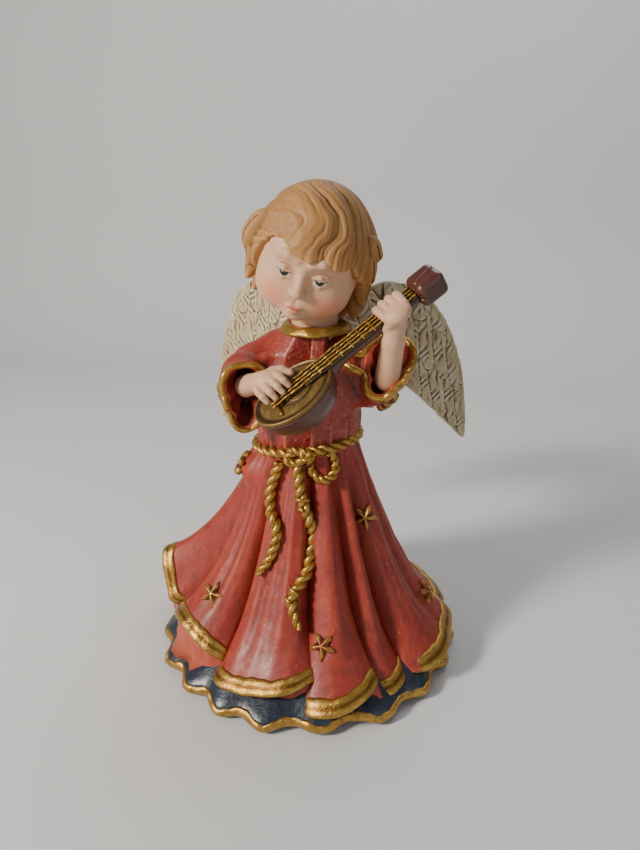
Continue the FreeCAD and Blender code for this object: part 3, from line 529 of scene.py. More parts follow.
def simple_materials():
    made = {}
    made["red"] = red_robe("robe_red").done()
    chest = red_robe("bodice_red", gloss=0.3)
    # Lighter pink on the raised swirls is a painted highlight, a sheen laid into the colour; the same noise also
    # raises them by bump.
    raised = ramp(chest.tree, noise(chest.tree, chest.where, 480.0, 3.0, 0.6, 1.6), 0.46, 0.66)
    chest.layer(ramp(chest.tree, raised, 0.2, 0.9, 0.0, 0.30), rgb(198, 116, 96))
    chest.bump(raised, 0.28, 0.6)
    made["bodice"] = chest.done()

    made["gold"] = gold_paint().done()
    made["star"] = gold_paint("star_worn_gold", worn=0.55).done()

    navy = Paint("underskirt_navy", rgb(14, 18, 27), rgb(9, 12, 19), patch=140.0, rough=0.36, coat=0.22)
    navy.wash_and_painted_light("hollow", 0.1, 0.9, rgb(12, 16, 24), 0.8)
    navy.wash_and_painted_light("groove", -0.01, -0.10, rgb(44, 54, 72), 0.5)
    navy.specks(1000.0, 0.2, rgb(110, 118, 132), 0.5)
    navy.grain(600.0, 5.0, 0.3, 0.7)
    made["navy"] = navy.done()

    hair = Paint("hair_tan", rgb(172, 122, 64), rgb(152, 102, 50), patch=110.0, rough=0.62)
    hair.wash_and_painted_light("groove", 0.008, 0.075, rgb(92, 52, 22), 0.90)
    hair.wash_and_painted_light("hollow", 0.10, 0.9, rgb(112, 70, 34), 0.60)
    hair.wash_and_painted_light("groove", -0.01, -0.08, rgb(196, 154, 98), 0.5)
    hair.grain(1400.0, 3.0, 0.05, 0.5)
    made["hair"] = hair.done()

    wing = Paint("wing_cream", rgb(204, 190, 156), rgb(172, 150, 108), patch=150.0, rough=0.55)
    wing.streaks((1.0, 1.0, 0.35), 210.0, 0.42, 0.70, rgb(138, 108, 62), 0.70)
    wing.wash_and_painted_light("hollow", 0.0, 0.26, rgb(108, 78, 38), 0.90)
    wing.wash_and_painted_light("groove", 0.004, 0.05, rgb(78, 52, 24), 0.95)
    wing.wash_and_painted_light("groove", -0.01, -0.07, rgb(230, 220, 194), 0.65)
    wing.grain(1000.0, 4.0, 0.12, 0.5)
    made["wing"] = wing.done()

    bowl = Paint("bowl_brown", rgb(96, 58, 44), rgb(72, 42, 32), patch=90.0, rough=0.42, coat=0.25)
    bowl.streaks((0.3, 1.0, 1.0), 500.0, 0.5, 0.75, rgb(120, 80, 62), 0.5)
    bowl.wash_and_painted_light("groove", 0.008, 0.06, rgb(56, 32, 24), 0.8)
    bowl.specks(700.0, 0.2, rgb(60, 40, 34), 0.7)
    bowl.grain(700.0, 4.0, 0.12, 0.5)
    made["bowl"] = bowl.done()

    board = Paint("soundboard_gold", rgb(136, 106, 56), rgb(104, 78, 42), patch=160.0, rough=0.38,
                  metallic=0.55)
    board.streaks((1.0, 0.25, 1.0), 420.0, 0.5, 0.72, rgb(176, 142, 78), 0.6)
    board.wash_and_painted_light("groove", 0.008, 0.07, rgb(58, 40, 22), 0.85)
    board.wash_and_painted_light("hollow", 0.05, 0.4, rgb(70, 48, 26), 0.6)
    board.grain(800.0, 4.0, 0.12, 0.6)
    made["board"] = board.done()

    dark = Paint("fretboard_dark", rgb(74, 54, 32), rgb(44, 32, 20), patch=300.0, rough=0.45,
                 metallic=0.35)
    dark.grain(900.0, 4.0, 0.1, 0.6)
    made["fretboard"] = dark.done()

    peg = Paint("pegbox_redbrown", rgb(82, 38, 26), rgb(64, 28, 19), patch=80.0, rough=0.36, coat=0.35)
    peg.wash_and_painted_light("groove", -0.01, -0.10, rgb(124, 74, 56), 0.6)
    peg.wash_and_painted_light("groove", 0.01, 0.08, rgb(50, 24, 18), 0.7)
    peg.grain(700.0, 4.0, 0.1, 0.5)
    made["pegbox"] = peg.done()

    felt = Paint("pad_felt", rgb(30, 66, 46), rgb(22, 52, 36), patch=400.0, rough=0.92, sheen=0.5)
    felt.grain(2600.0, 6.0, 0.25, 0.9, rough=0.8)
    made["felt"] = felt.done()
    return made


# ---------------------------------------------------------------- head frame

def rotation(axis, degrees):
    return np.array(Matrix.Rotation(math.radians(degrees), 3, axis))


HEAD_AXES = rotation("Z", HEAD_TURN) @ rotation("Y", HEAD_ROLL) @ rotation("X", HEAD_NOD)


def from_head(points):
    """Places points of the head's own frame: +X its left, -Y its face, +Z its crown."""
    return np.asarray(points, float) @ HEAD_AXES.T + HEAD_CENTRE


MASK_DEPTH = 30.0
EYE = (5.1, -15.4, -1.6)          # the figure's left eye; the right one is mirrored
MOUTH = (0.0, -16.6, -11.05)


def skin_material(name, with_face):
    """Pale matte skin. The head also gets blush, lips, lids and lashes in its own frame."""
    paint = Paint(name, rgb(214, 172, 138), rgb(202, 156, 122), patch=70.0, rough=0.55)
    paint.shader.inputs["Subsurface Weight"].default_value = 0.12
    paint.shader.inputs["Subsurface Radius"].default_value = (1.2, 0.5, 0.3)
    paint.shader.inputs["Subsurface Scale"].default_value = 0.0012
    paint.wash_and_painted_light("groove", 0.02, 0.16, rgb(178, 112, 82), 0.45)
    paint.grain(1200.0, 3.0, 0.05, 0.4)
    if not with_face:
        return paint.done()
    tree = paint.tree
    turned = HEAD_AXES.T
    euler = Matrix(turned.tolist()).to_euler("XYZ")
    moved = add_node(tree, "ShaderNodeVectorMath", {0: paint.where, 1: tuple(HEAD_CENTRE * MM)},
                     operation="SUBTRACT")
    spun = add_node(tree, "ShaderNodeVectorRotate",
                    {"Vector": moved.outputs[0], "Rotation": tuple(euler)},
                    rotation_type="EULER_XYZ")
    place = add_node(tree, "ShaderNodeVectorMath", {0: spun.outputs[0], 1: (1000.0,) * 3},
                     operation="MULTIPLY").outputs[0]

    def spot(centre, size, inner=0.6, outer=1.0, strength=1.0, tilt=0.0):
        """Soft oval mask on the face: 1 inside, 0 outside."""
        away = add_node(tree, "ShaderNodeVectorMath", {0: place, 1: centre},
                        operation="SUBTRACT").outputs[0]
        if tilt:
            away = add_node(tree, "ShaderNodeVectorRotate", {"Vector": away, "Axis": (0.0, 1.0, 0.0),
                                                             "Angle": math.radians(tilt)}).outputs[0]
        scaled = add_node(tree, "ShaderNodeVectorMath", {0: away, 1: tuple(1.0 / s for s in size)},
                          operation="MULTIPLY").outputs[0]
        length = add_node(tree, "ShaderNodeVectorMath", {0: scaled},
                          operation="LENGTH").outputs["Value"]
        return add_node(tree, "ShaderNodeMapRange",
                        {"Value": length, "From Min": inner, "From Max": outer,
                                                     "To Min": strength, "To Max": 0.0},
                        interpolation_type="SMOOTHSTEP").outputs["Result"]

    def less(mask, other):
        return add_node(tree, "ShaderNodeMath", {0: mask, 1: other}, operation="SUBTRACT",
                        use_clamp=True).outputs[0]

    # far: depth of a mask, so that it acts along the whole line of sight
    far = MASK_DEPTH
    paint.layer(spot((0.0, -17.0, -8.0), (9.0, far, 3.4), 0.1, 1.0, 0.16), rgb(226, 140, 104))
    for side in (-1.0, 1.0):
        paint.layer(spot((side * 7.6, -12.0, -7.4), (6.4, 16.0, 5.0), 0.0, 1.0, 0.62),
                    rgb(222, 124, 84))
        paint.layer(spot((side * 6.0, -12.0, -10.4), (5.6, 16.0, 3.6), 0.1, 1.0, 0.35),
                    rgb(220, 118, 82))
    paint.layer(spot((0.0, -17.0, -15.5), (5.0, 16.0, 3.0), 0.1, 1.0, 0.25), rgb(214, 132, 100))
    for side in (-1.0, 1.0):
        x, y, z = side * EYE[0], EYE[1], EYE[2]
        # lid crease and brow, a darker fold above each eye
        crease = less(spot((x, y, z + 0.5), (2.7, far, 2.0), 0.86, 1.0, 1.0, side * 8.0),
                      spot((x, y, z - 0.35), (2.9, far, 2.3), 0.90, 1.0, 1.0, side * 8.0))
        paint.layer(math_node(tree, "MULTIPLY", crease,
                              ramp(tree, paint.rough_noise, 0.0, 0.1, 0.0, 0.75)),
                    rgb(150, 92, 66))
        brow = less(spot((x + side * 0.3, y, z + 3.1), (3.1, far, 1.35), 0.75, 1.0, 1.0, side * 10.0),
                    spot((x + side * 0.3, y, z + 2.45), (3.5, far, 1.45), 0.80, 1.0, 1.0, side * 10.0))
        paint.layer(math_node(tree, "MULTIPLY", brow,
                              ramp(tree, paint.rough_noise, 0.0, 0.1, 0.0, 0.45)),
                    rgb(180, 132, 100))
        # the open part of the eye: a low white lens with a dark iris half under the lid
        lens = less(spot((x, y, z - 0.1), (2.15, far, 1.35), 0.84, 1.0, 1.0, side * 6.0),
                    spot((x, y, z + 1.25), (2.9, far, 1.25), 0.88, 1.0, 1.0, side * 6.0))
        paint.layer(lens, rgb(196, 178, 164))
        iris = less(spot((x - side * 0.15, y, z - 0.1), (1.35, far, 1.2), 0.80, 1.0),
                    spot((x, y, z + 1.25), (2.9, far, 1.25), 0.88, 1.0, 1.0, side * 6.0))
        paint.layer(iris, rgb(24, 18, 16))
        lash = less(spot((x, y, z + 1.15), (2.9, far, 1.45), 0.90, 1.0, 1.0, side * 6.0),
                    spot((x, y, z + 1.45), (3.2, far, 1.45), 0.86, 1.0, 1.0, side * 6.0))
        inside = spot((x, y, z + 0.1), (2.4, far, 1.2), 0.8, 1.0)
        paint.layer(math_node(tree, "MULTIPLY", lash, inside), rgb(58, 34, 26))
        glint = spot((x - 0.35, y, z - 0.05), (0.28, far, 0.28), 0.5, 1.0, 0.55)
        paint.layer(glint, rgb(226, 222, 216))
    upper = spot((0.0, -17.0, MOUTH[2] + 0.5), (2.3, far, 0.8), 0.55, 1.0, 0.85)
    lower = spot((0.0, -17.0, MOUTH[2] - 0.65), (1.8, far, 0.9), 0.55, 1.0, 0.75)
    paint.layer(upper, rgb(206, 104, 84))
    paint.layer(lower, rgb(212, 116, 94))
    paint.layer(spot((0.0, -17.0, MOUTH[2] - 0.05), (2.4, far, 0.24), 0.3, 1.0, 0.85), rgb(138, 62, 50))
    return paint.done()


# ---------------------------------------------------------------- underskirt

def ring_angles(count):
    return np.linspace(-np.pi, np.pi, count, endpoint=False)


UNDER_RADIUS, UNDER_RIPPLE, RIPPLES = 48.4, 1.6, 19


def under_radius(turn, share=1.0):
    """Fluted radius of the underskirt; share fades the flutes towards the seat."""
    flutes = np.sin(RIPPLES * turn + 0.9 * np.sin(3 * turn)) + 0.25 * np.sin(7 * turn + 1.0)
    return UNDER_RADIUS + UNDER_RIPPLE * 0.85 * flutes * share


def make_underskirt(materials):
    turn = ring_angles(760)
    rows = []
    valley = 0.5 - 0.5 * (under_radius(turn) - UNDER_RADIUS) / UNDER_RIPPLE
    rise = 1.1 * np.clip(valley, 0.0, 1.2)
    profile = [(0.3, -1.4, 1.0), (0.9, -0.5, 1.0), (1.5, -0.1, 1.0), (2.5, 0.0, 1.0), (3.6, -0.3, 1.0),
               (4.3, -0.8, 1.0),
               (5.4, -2.4, 1.0), (6.8, -4.4, 0.95), (8.2, -6.6, 0.9), (9.6, -9.0, 0.85),
               (11.0, -12.0, 0.7),
               (12.4, -15.5, 0.5), (13.6, -20.0, 0.2)]
    for z, inward, share in profile:
        r = under_radius(turn, share) + inward
        lift = 0.5 * np.cos(RIPPLES * turn * 0.5 + 0.4) * smooth_step(3.0, 8.0, z)
        rows.append(np.stack([r * np.cos(turn), r * np.sin(turn),
                              z + lift + rise * smooth_step(0.6, 2.0, z)], 1))
    foot = [(0.3, 41.3), (1.2, 41.1)]
    low = [np.stack([r * np.cos(turn), r * np.sin(turn), np.full_like(turn, z)], 1) for z,
           r in reversed(foot)]
    stuff = Stuff().grid(np.stack(low + rows), cap_first=True, cap_last=True)
    build_stuff("underskirt_folds", stuff, materials["navy"], ["underskirt"], "navy_paint", (6, 60))

    band = Stuff()
    section = [(1.15, 0.0), (1.35, 0.45), (2.0, 0.72), (2.9, 0.66), (3.7, 0.36), (3.95, -0.15),
               (2.6, -0.9)]
    rings = []
    ripple = 0.22 * np.sin(31 * turn + 2 * np.sin(5 * turn)) + 0.12 * np.sin(83 * turn)
    for z, out in section:
        lean = np.interp(z, [0.9, 1.5, 2.5, 3.6, 4.3], [-0.5, -0.1, 0.0, -0.3, -0.8])
        r = under_radius(turn) + lean + out + 0.10 * np.sin(47 * turn + z)
        rings.append(np.stack([r * np.cos(turn), r * np.sin(turn),
                               z + ripple * (z > 2.5) + rise * smooth_step(0.6, 2.0, z)], 1))
    band.grid(np.stack(rings), close_rows=True)
    build_stuff("underskirt_gold_hem", band, materials["gold"], ["underskirt_band"], "gold_paint",
                (3, 20))


# ---------------------------------------------------------------- overskirt

# Lobes of the hem: the direction at which each comes out from under the last and the one at its
# lifted end (degrees), reach, height of its low start and of its lifted end, how much it arches in
# between, and how much resin fills the hollow below it.
HEM_LOBES = [
    (-166.0, -119.0, 44.6, 9.6, 12.2, 8.0, 0.95),
    (-123.0, -75.0, 45.2, 7.2, 12.8, 0.0, 0.0),
    (-82.0, -49.0, 47.6, 5.4, 10.4, 0.0, 0.0),
    (-54.0, -30.0, 44.6, 5.2, 7.6, 0.0, 0.0),
    (-33.0, 17.0, 48.8, 7.0, 11.6, 0.8, 0.1),
    (12.0, 50.0, 48.2, 6.4, 11.5, 0.0, 0.0),
    (45.0, 86.0, 47.8, 6.2, 12.0, 0.5, 0.0),
    (81.0, 120.0, 47.6, 6.6, 12.2, 0.5, 0.0),
    (115.0, 151.0, 48.4, 8.0, 15.0, 1.0, 0.2),
]


def hem_controls():
    """Control points of the hem: direction, radius, height, how much resin fills the fold below,
    the direction without the fold's turning back, and whether the gold shows."""
    points = []
    for k, (start, end, reach, low, crest, arch, full) in enumerate(HEM_LOBES):
        run = end - start
        first = HEM_LOBES[k - 1][1] + 0.8 if k else start
        for share, out, fill, gold in ((0.0, -4.4, 1.0, 0.0), (0.09, -1.5, 0.5, 0.7),
                                       (0.22, 0.2, 0.0, 1.0), (0.45, 0.6, 0.0, 1.0),
                                       (0.70, -0.4, 0.1, 1.0), (0.87, -1.9, 0.6, 1.0),
                                       (0.97, -3.2, 1.0, 1.0)):
            height = low + (crest - low) * share ** 1.3 + arch * math.sin(math.pi
                                                                          * share) - 0.5 * (share == 0.0)
            away = start + run * share
            plain = max(away - (first - start) * share, first + (end - first) * share)
            points.append((away, reach + out, height, max(fill, full), min(plain, end - 0.6), gold))
        points.append((end + 0.5, reach - 4.3, crest - 1.3, 1.0, end - 0.3, 0.8))
        points.append((end - 1.2, reach - 5.6, crest - 3.6, 1.0, end + 0.1, 0.1))
    # the blown-up corner on the figure's right
    for angle, reach, height in ((156.0, 49.5, 14.0), (165.0, 51.0, 19.5), (174.0, 52.4, 24.0),
                                 (180.5, 52.8, 25.4),
                                 (185.0, 51.4, 21.0), (188.5, 49.4, 14.8), (191.5, 47.6, 11.0)):
        points.append((angle, reach, height, 0.2, angle, 1.0))
    return points


HEM_COUNT = 1080


def hem_curve():
    """Samples of the hem: position, fill, plain direction and gold."""
    rows = []
    for angle, radius, height, fill, plain, gold in hem_controls():
        turn = math.radians(angle)
        rows.append((radius * math.cos(turn), radius * math.sin(turn), height, fill,
                     math.cos(math.radians(plain)),
                     math.sin(math.radians(plain)), gold))
    samples = catmull(np.array(rows), HEM_COUNT, True)
    angle = np.unwrap(np.arctan2(samples[:, 5], samples[:, 4]))
    return samples[:, :3], np.clip(samples[:, 3], 0, 1), angle, np.clip(samples[:, 6], 0, 1)


def ring_smooth(values, passes):
    for _ in range(passes):
        values = 0.5 * values + 0.25 * (np.roll(values, 1, 0) + np.roll(values, -1, 0))
    return values


class Overskirt:
    """The red skirt's surface: around by hem sample, down by share (0 waist, 1 hem)."""

    def __init__(self):
        self.hem, self.fill, self.angle, self.gold = hem_curve()
        turning = self.angle - self.angle[0] - np.linspace(0, 2 * np.pi, HEM_COUNT, endpoint=False)
        self.angle = self.angle[0] + np.linspace(0, 2 * np.pi, HEM_COUNT,
                                                 endpoint=False) + ring_smooth(turning, 60)
        self.plain = ring_smooth(self.hem, 220)
        keep = ring_smooth(self.hem[:, 2:3], 40)
        self.plain[:, 2:3] = keep
        self.valleys = np.radians([lobe[1] for lobe in HEM_LOBES] + [-163.0])

    def pleat(self, share):
        """Depth of the pleats that run up from the folds of the hem."""
        depth = np.zeros(HEM_COUNT)
        for k, valley in enumerate(self.valleys):
            away = (self.angle - valley + np.pi) % (2 * np.pi) - np.pi
            depth -= (3.3 + 0.7 * math.sin(2.3 * k)) * np.exp(-(away / 0.075) ** 2)
            depth += 1.3 * np.exp(-((away + 0.17) / 0.11) ** 2) + 0.9 * np.exp(-((away
                                                                                  - 0.17) / 0.12) ** 2)
        depth += 0.75 * np.sin(15 * self.angle + 1.5 * np.sin(2 * self.angle))
        depth += 0.30 * np.sin(41 * self.angle + 2.0 * np.sin(3 * self.angle) + 2.0 * share)
        return depth * share ** 0.55 * (1.0 - 0.72 * smooth_step(0.7, 1.0, share))

    def ring(self, share):
        flare = 0.75 * share ** 1.2 + 0.25 * share ** 6
        c, s = np.cos(self.angle), np.sin(self.angle)
        top = WAIST_Z + WAIST_SLOPE * c
        wide, deep = WAIST_HALF
        ring = np.stack([wide * c, deep * s, top], 1)
        ring[:, :2] += (self.plain[:, :2] - ring[:, :2]) * flare
        ring[:, 2] = top + (self.plain[:, 2] - top) * share
        ring += (self.hem - self.plain) * share ** 7
        pleat = self.pleat(share)
        pleat = pleat + 0.35 * waves(ring[:, 0], ring[:, 1], ring[:, 2], 14.0, 5)
        ring[:, 0] += pleat * c
        ring[:, 1] += pleat * s
        return ring

    def point(self, degrees, share):
        """Point and outward normal at a plain direction."""
        turn = math.radians(degrees)
        away = np.abs((self.angle - turn + np.pi) % (2 * np.pi) - np.pi)
        k = int(np.argmin(away))
        here, up = self.ring(share), self.ring(share - 0.015)
        along = here[(k + 4) % HEM_COUNT] - here[k - 4]
        return here[k], unit(np.cross(along, up[k] - here[k]))


def make_overskirt(skirt, materials):
    shares = np.concatenate([[0.0], np.linspace(0.012, 0.90, 84), np.linspace(0.91, 1.0, 16)])
    rows = [skirt.ring(s) for s in shares]
    # hip fold, a soft lump under the belt on the figure's right
    grid = np.stack(rows)
    hip = np.array([-15.2, -5.0, 63.8])
    away = grid - hip
    bulge = np.exp(-((away[..., 0] / 6.5) ** 2 + (away[..., 1] / 6.6) ** 2 + (away[..., 2] / 6.2) ** 2)
                   * 1.2)
    push = grid.copy()
    push[..., 2] = 0
    push /= np.linalg.norm(push, axis=-1, keepdims=True)
    grid = grid + push * (bulge * 4.6)[..., None]
    c, s = np.cos(skirt.angle), np.sin(skirt.angle)
    outward = np.stack([c, s, np.zeros(HEM_COUNT)], 1)
    hem = grid[-1]
    radius = np.hypot(hem[:, 0], hem[:, 1])
    lip = hem - outward * 0.9 - np.array([0, 0, 0.15])
    fill_top = hem - outward * (1.5 - 0.9 * skirt.fill)[:, None] + np.array([0.0, 0.0, 0.5])
    rows_below = [lip, fill_top]
    for share, bulge_out in ((0.35, 0.9), (0.7, 1.3), (1.0, 1.0)):
        floor_z = np.minimum(hem[:, 2] - 0.6, 4.8)
        z = hem[:, 2] + (floor_z - hem[:, 2]) * share
        under = under_radius(np.arctan2(hem[:, 1], hem[:, 0])) - 2.4 - (z - 5.4) * 1.55
        hidden = radius - 2.5
        shown = np.maximum(under + 0.35, radius - 1.0 + bulge_out)
        shown = np.minimum(shown, radius + 3.2)
        r = hidden + (shown - hidden) * ring_smooth(skirt.fill, 6)
        rows_below.append(np.stack([hem[:, 0] * r / radius, hem[:, 1] * r / radius, z], 1))
    inner = np.stack([30 * c, 30 * s, np.full(HEM_COUNT, 6.0)], 1)
    rows_below.append(inner)
    # rows run downwards, so the winding is turned
    stuff = Stuff().grid(np.concatenate([grid, np.stack(rows_below)]), cap_first=True, cap_last=True)
    obj = build_stuff("overskirt", stuff, materials["red"], ["skirt"], "red_paint", (4, 90))

    band = Stuff()
    rings = []
    wave = 0.25 * np.sin(23 * skirt.angle + np.sin(4 * skirt.angle)) + 0.12 * np.sin(71 * skirt.angle)
    section = [(1.004, -0.30), (1.010, 0.10), (1.006, 0.48), (0.994, 0.62), (0.984, 0.52),
               (0.972, 0.58), (0.962, 0.50),
               (0.954, 0.10), (0.960, -0.5), (0.98, -0.7)]
    for share, out in section:
        base = skirt.ring(min(share, 1.0))
        above = skirt.ring(min(share, 1.0) - 0.02)
        down = base - above
        down /= np.linalg.norm(down, axis=1, keepdims=True)
        along = np.roll(base, -2, 0) - np.roll(base, 2, 0)
        normal = np.cross(down, along)
        normal /= np.linalg.norm(normal, axis=1, keepdims=True)
        normal = ring_smooth(normal, 3)
        shift = (wave * (share < 0.965))[:, None]
        extra = max(share - 1.0, 0.0) * 66.0
        shown = ring_smooth(skirt.gold, 4)
        lift = (out + 0.05 * np.sin(57 * skirt.angle)) * shown - 1.2 * (1 - shown)
        rings.append(base + normal * lift[:, None] + down * (extra + shift) * shown[:, None])
    band.grid(np.stack(rings), close_rows=True)
    build_stuff("overskirt_gold_hem", band, materials["gold"], ["skirt_hem_band"], "gold_paint",
                (3, 20))
    return obj


# ---------------------------------------------------------------- bodice and sleeves

CHEST_TOP = np.array([0.0, 0.0, WAIST_Z + 0.72 * TORSO_TALL])
RIGHT_MOUTH = CHEST_TOP + (-14.2, -17.6, -7.6)
RIGHT_AXIS = unit((0.42, -0.90, 0.05))
LEFT_MOUTH = CHEST_TOP + (25.5, -8.5, 1.5)
LEFT_AXIS = unit((0.10, -0.74, 0.66))


def plane_axes(axis, up):
    across = unit(np.cross(up, axis))
    return across, np.cross(axis, across)


class Sleeve:
    """Bell sleeve: rods side by side from the shoulder to an egg-shaped mouth, hollow at its end."""

    def __init__(self, start, bend, run, mouth, axis, up, circles):
        self.mouth, self.axis = mouth, axis
        self.across, self.high = plane_axes(axis, up)
        self.rods, self.radii, self.hollow, self.hollow_radii = [], [], [], []
        for offset, radius in circles:
            rim = mouth + self.high * offset
            middle = run + self.high * offset * 0.8
            self.rods.append([start, bend, middle, rim, rim + axis * 4.0])
            self.radii.append([7.2, 7.4, radius * 1.05, radius, radius])
            self.hollow.append([middle + axis * 1.0, rim, rim + axis * 6.0])
            self.hollow_radii.append([radius * 0.4, radius - 1.35, radius - 1.0])

    def shape(self, clay):
        for rod, radii in zip(self.rods, self.radii):
            clay.rod(rod, radii, 1.6)

    def open_mouth(self, clay, soft=0.5):
        for rod, radii in zip(self.hollow, self.hollow_radii):
            clay.rod(rod, radii, soft, sign=-1.0)

        def beyond(x, y, z):
            return -((x - self.mouth[0]) * self.axis[0] + (y - self.mouth[1]) * self.axis[1]
                     + (z - self.mouth[2]) * self.axis[2])
        low, high = self.mouth - 16.0, self.mouth + 16.0
        clay.blend(beyond, low, high, 0.4, sign=-1.0)


SLEEVES = {
    "right_sleeve": Sleeve(CHEST_TOP + (-8, 0, 1), CHEST_TOP + (-14.5, -4.5, -3),
                           CHEST_TOP + (-16.3, -11, -6),
                           RIGHT_MOUTH, RIGHT_AXIS, (0, 0, 1), ((3.6, 6.4), (-1.4, 5.6), (-6.2, 4.0))),
    "left_sleeve": Sleeve(CHEST_TOP + (9, 0.5, 1), CHEST_TOP + (17.5, -0.5, -4),
                          CHEST_TOP + (22.8, -3, -3),
                          LEFT_MOUTH, LEFT_AXIS, (0.25, 0.3, 1),
                          ((3.4, 6.6), (-1.6, 5.8), (-6.4, 4.0))),
}

SLEEVE_FOLDS = {
    "right_sleeve": [[(-9, -9.5, 101.5), (-15, -13, 97), (-19, -14, 90)],
                     [(-10, -9, 97), (-17, -10.5, 90), (-20, -11, 84)],
                     [(-14, 4, 101), (-20.5, -2, 95), (-23, -8, 88)]],
    "left_sleeve": [[(12, -8, 102), (17, -8.5, 96), (21, -8, 88.5)],
                    [(10, -9, 98), (15, -8, 91), (21, -6, 86.5)],
                    [(15, 5.5, 101), (22, 5, 96), (28, 0, 92)]],
}


def torso_distance(x, y, z):
    share = np.clip((z - WAIST_Z) / TORSO_TALL, -0.1, 1.05)
    marks = [0.0, 0.12, 0.3, 0.6, 0.82, 0.94, 1.0]
    wide = np.interp(share, marks, [15.0, 15.9, 15.9, 16.2, 14.2, 10.8, 8.7])
    deep = np.interp(share, marks, [13.0, 13.5, 13.3, 13.2, 11.9, 9.9, 8.5])
    near = np.sqrt(((x - 3.0 * share) / wide) ** 2 + ((y + 1.5 * share) / deep) ** 2)
    side = (near - 1.0) * np.minimum(wide, deep)
    caps = np.maximum(z - (WAIST_Z + TORSO_TALL + 0.4), (WAIST_Z - 2.5) - z)
    return np.maximum(side, caps)


def make_robe_top(materials):
    """Bodice and both sleeves; returns the cloth of each sleeve as clay, for its cuff to follow."""
    low, high, step = (-27.0, -24.0, 70.0), (36.0, 17.0, 112.0), 0.45
    torso = Clay(low, high, step)
    torso.blend(torso_distance, low, high, 0.6)
    # gathers above the belt
    for k in range(26):
        turn = 2 * math.pi * k / 26 + 0.1 * math.sin(5 * k)
        reach = np.array([15.9 * math.cos(turn) + 0.4, 13.6 * math.sin(turn), 0.0])
        foot = reach + (0.0, 0.0, WAIST_Z + WAIST_SLOPE * math.cos(turn) - 0.5)
        head = reach * 0.99 + (0.8, -0.4, WAIST_Z + 10.0 + 2.5 * math.sin(3.7 * k))
        torso.rod([foot, head], [0.40, 0.06], 1.6)
    # neckline ring that the collar sits on
    torso.ball(NECK_TOP + (0, 0, -1.5), (9.4, 9.2, 2.6), 2.0)
    arms = {}
    whole = Clay(low, high, step)
    whole.dist = torso.dist.copy()
    for name, sleeve in SLEEVES.items():
        arm = Clay(low, high, step)
        sleeve.shape(arm)
        for fold in SLEEVE_FOLDS[name]:
            arm.rod(catmull(fold, 7, False), [0.5, 0.9, 1.1, 1.1, 1.0, 0.8, 0.4], 1.6)
        arms[name] = arm.dist
        soft = 4.0
        mix_share = np.clip(0.5 + 0.5 * (whole.dist - arm.dist) / soft, 0, 1)
        whole.dist = whole.dist + (arm.dist - whole.dist) * mix_share - soft * mix_share * (1
                                                                                            - mix_share)
    part, x, y, z = whole.window(low, high)
    whole.dist += (0.22 * waves(x, y, z, 11.0, 3)).astype(np.float32)[part]
    for sleeve in SLEEVES.values():
        sleeve.open_mouth(whole)
    nearest = np.minimum(arms["right_sleeve"], arms["left_sleeve"])
    body = Clay(low, high, step)
    body.dist = np.maximum(whole.dist, (torso.dist - nearest - 1.6) * 0.7)
    body.dist = np.maximum(body.dist, np.broadcast_to((WAIST_Z - 1.5 - z), body.dist.shape))
    build("bodice_robe", *body.mesh(), materials["bodice"], ["bodice"], "red_paint", (3, 30))
    for name in SLEEVES:
        piece = Clay(low, high, step)
        piece.dist = np.maximum(whole.dist - 0.07, (arms[name] - torso.dist - 1.2) * 0.7)
        side = -1.0 if name == "right_sleeve" else 1.0
        piece.dist = np.maximum(piece.dist,
                                np.broadcast_to((2.0 - side * x).astype(np.float32), piece.dist.shape))
        build(name + "_cloth", *piece.mesh(), materials["red"], [name], "red_paint", (3, 30))
    solid = {}
    for name, sleeve in SLEEVES.items():
        solid[name] = Clay(low, high, step)
        solid[name].dist = np.maximum(arms[name] - 0.3, whole.dist)
    return solid


def sample_field(clay, points):
    """Trilinear distance at points."""
    q = (np.asarray(points, float) - clay.low) / clay.step
    base = np.clip(np.floor(q).astype(int), 0, np.array(clay.dist.shape) - 2)
    t = q - base
    total = np.zeros(len(q))
    for i in (0, 1):
        for j in (0, 1):
            for k in (0, 1):
                weight = (t[:, 0] if i else 1 - t[:, 0]) * (t[:, 1] if j else 1
                                                            - t[:, 1]) * (t[:, 2] if k else 1 - t[:, 2])
                total += weight * clay.dist[base[:, 0] + i, base[:, 1] + j, base[:, 2] + k]
    return total


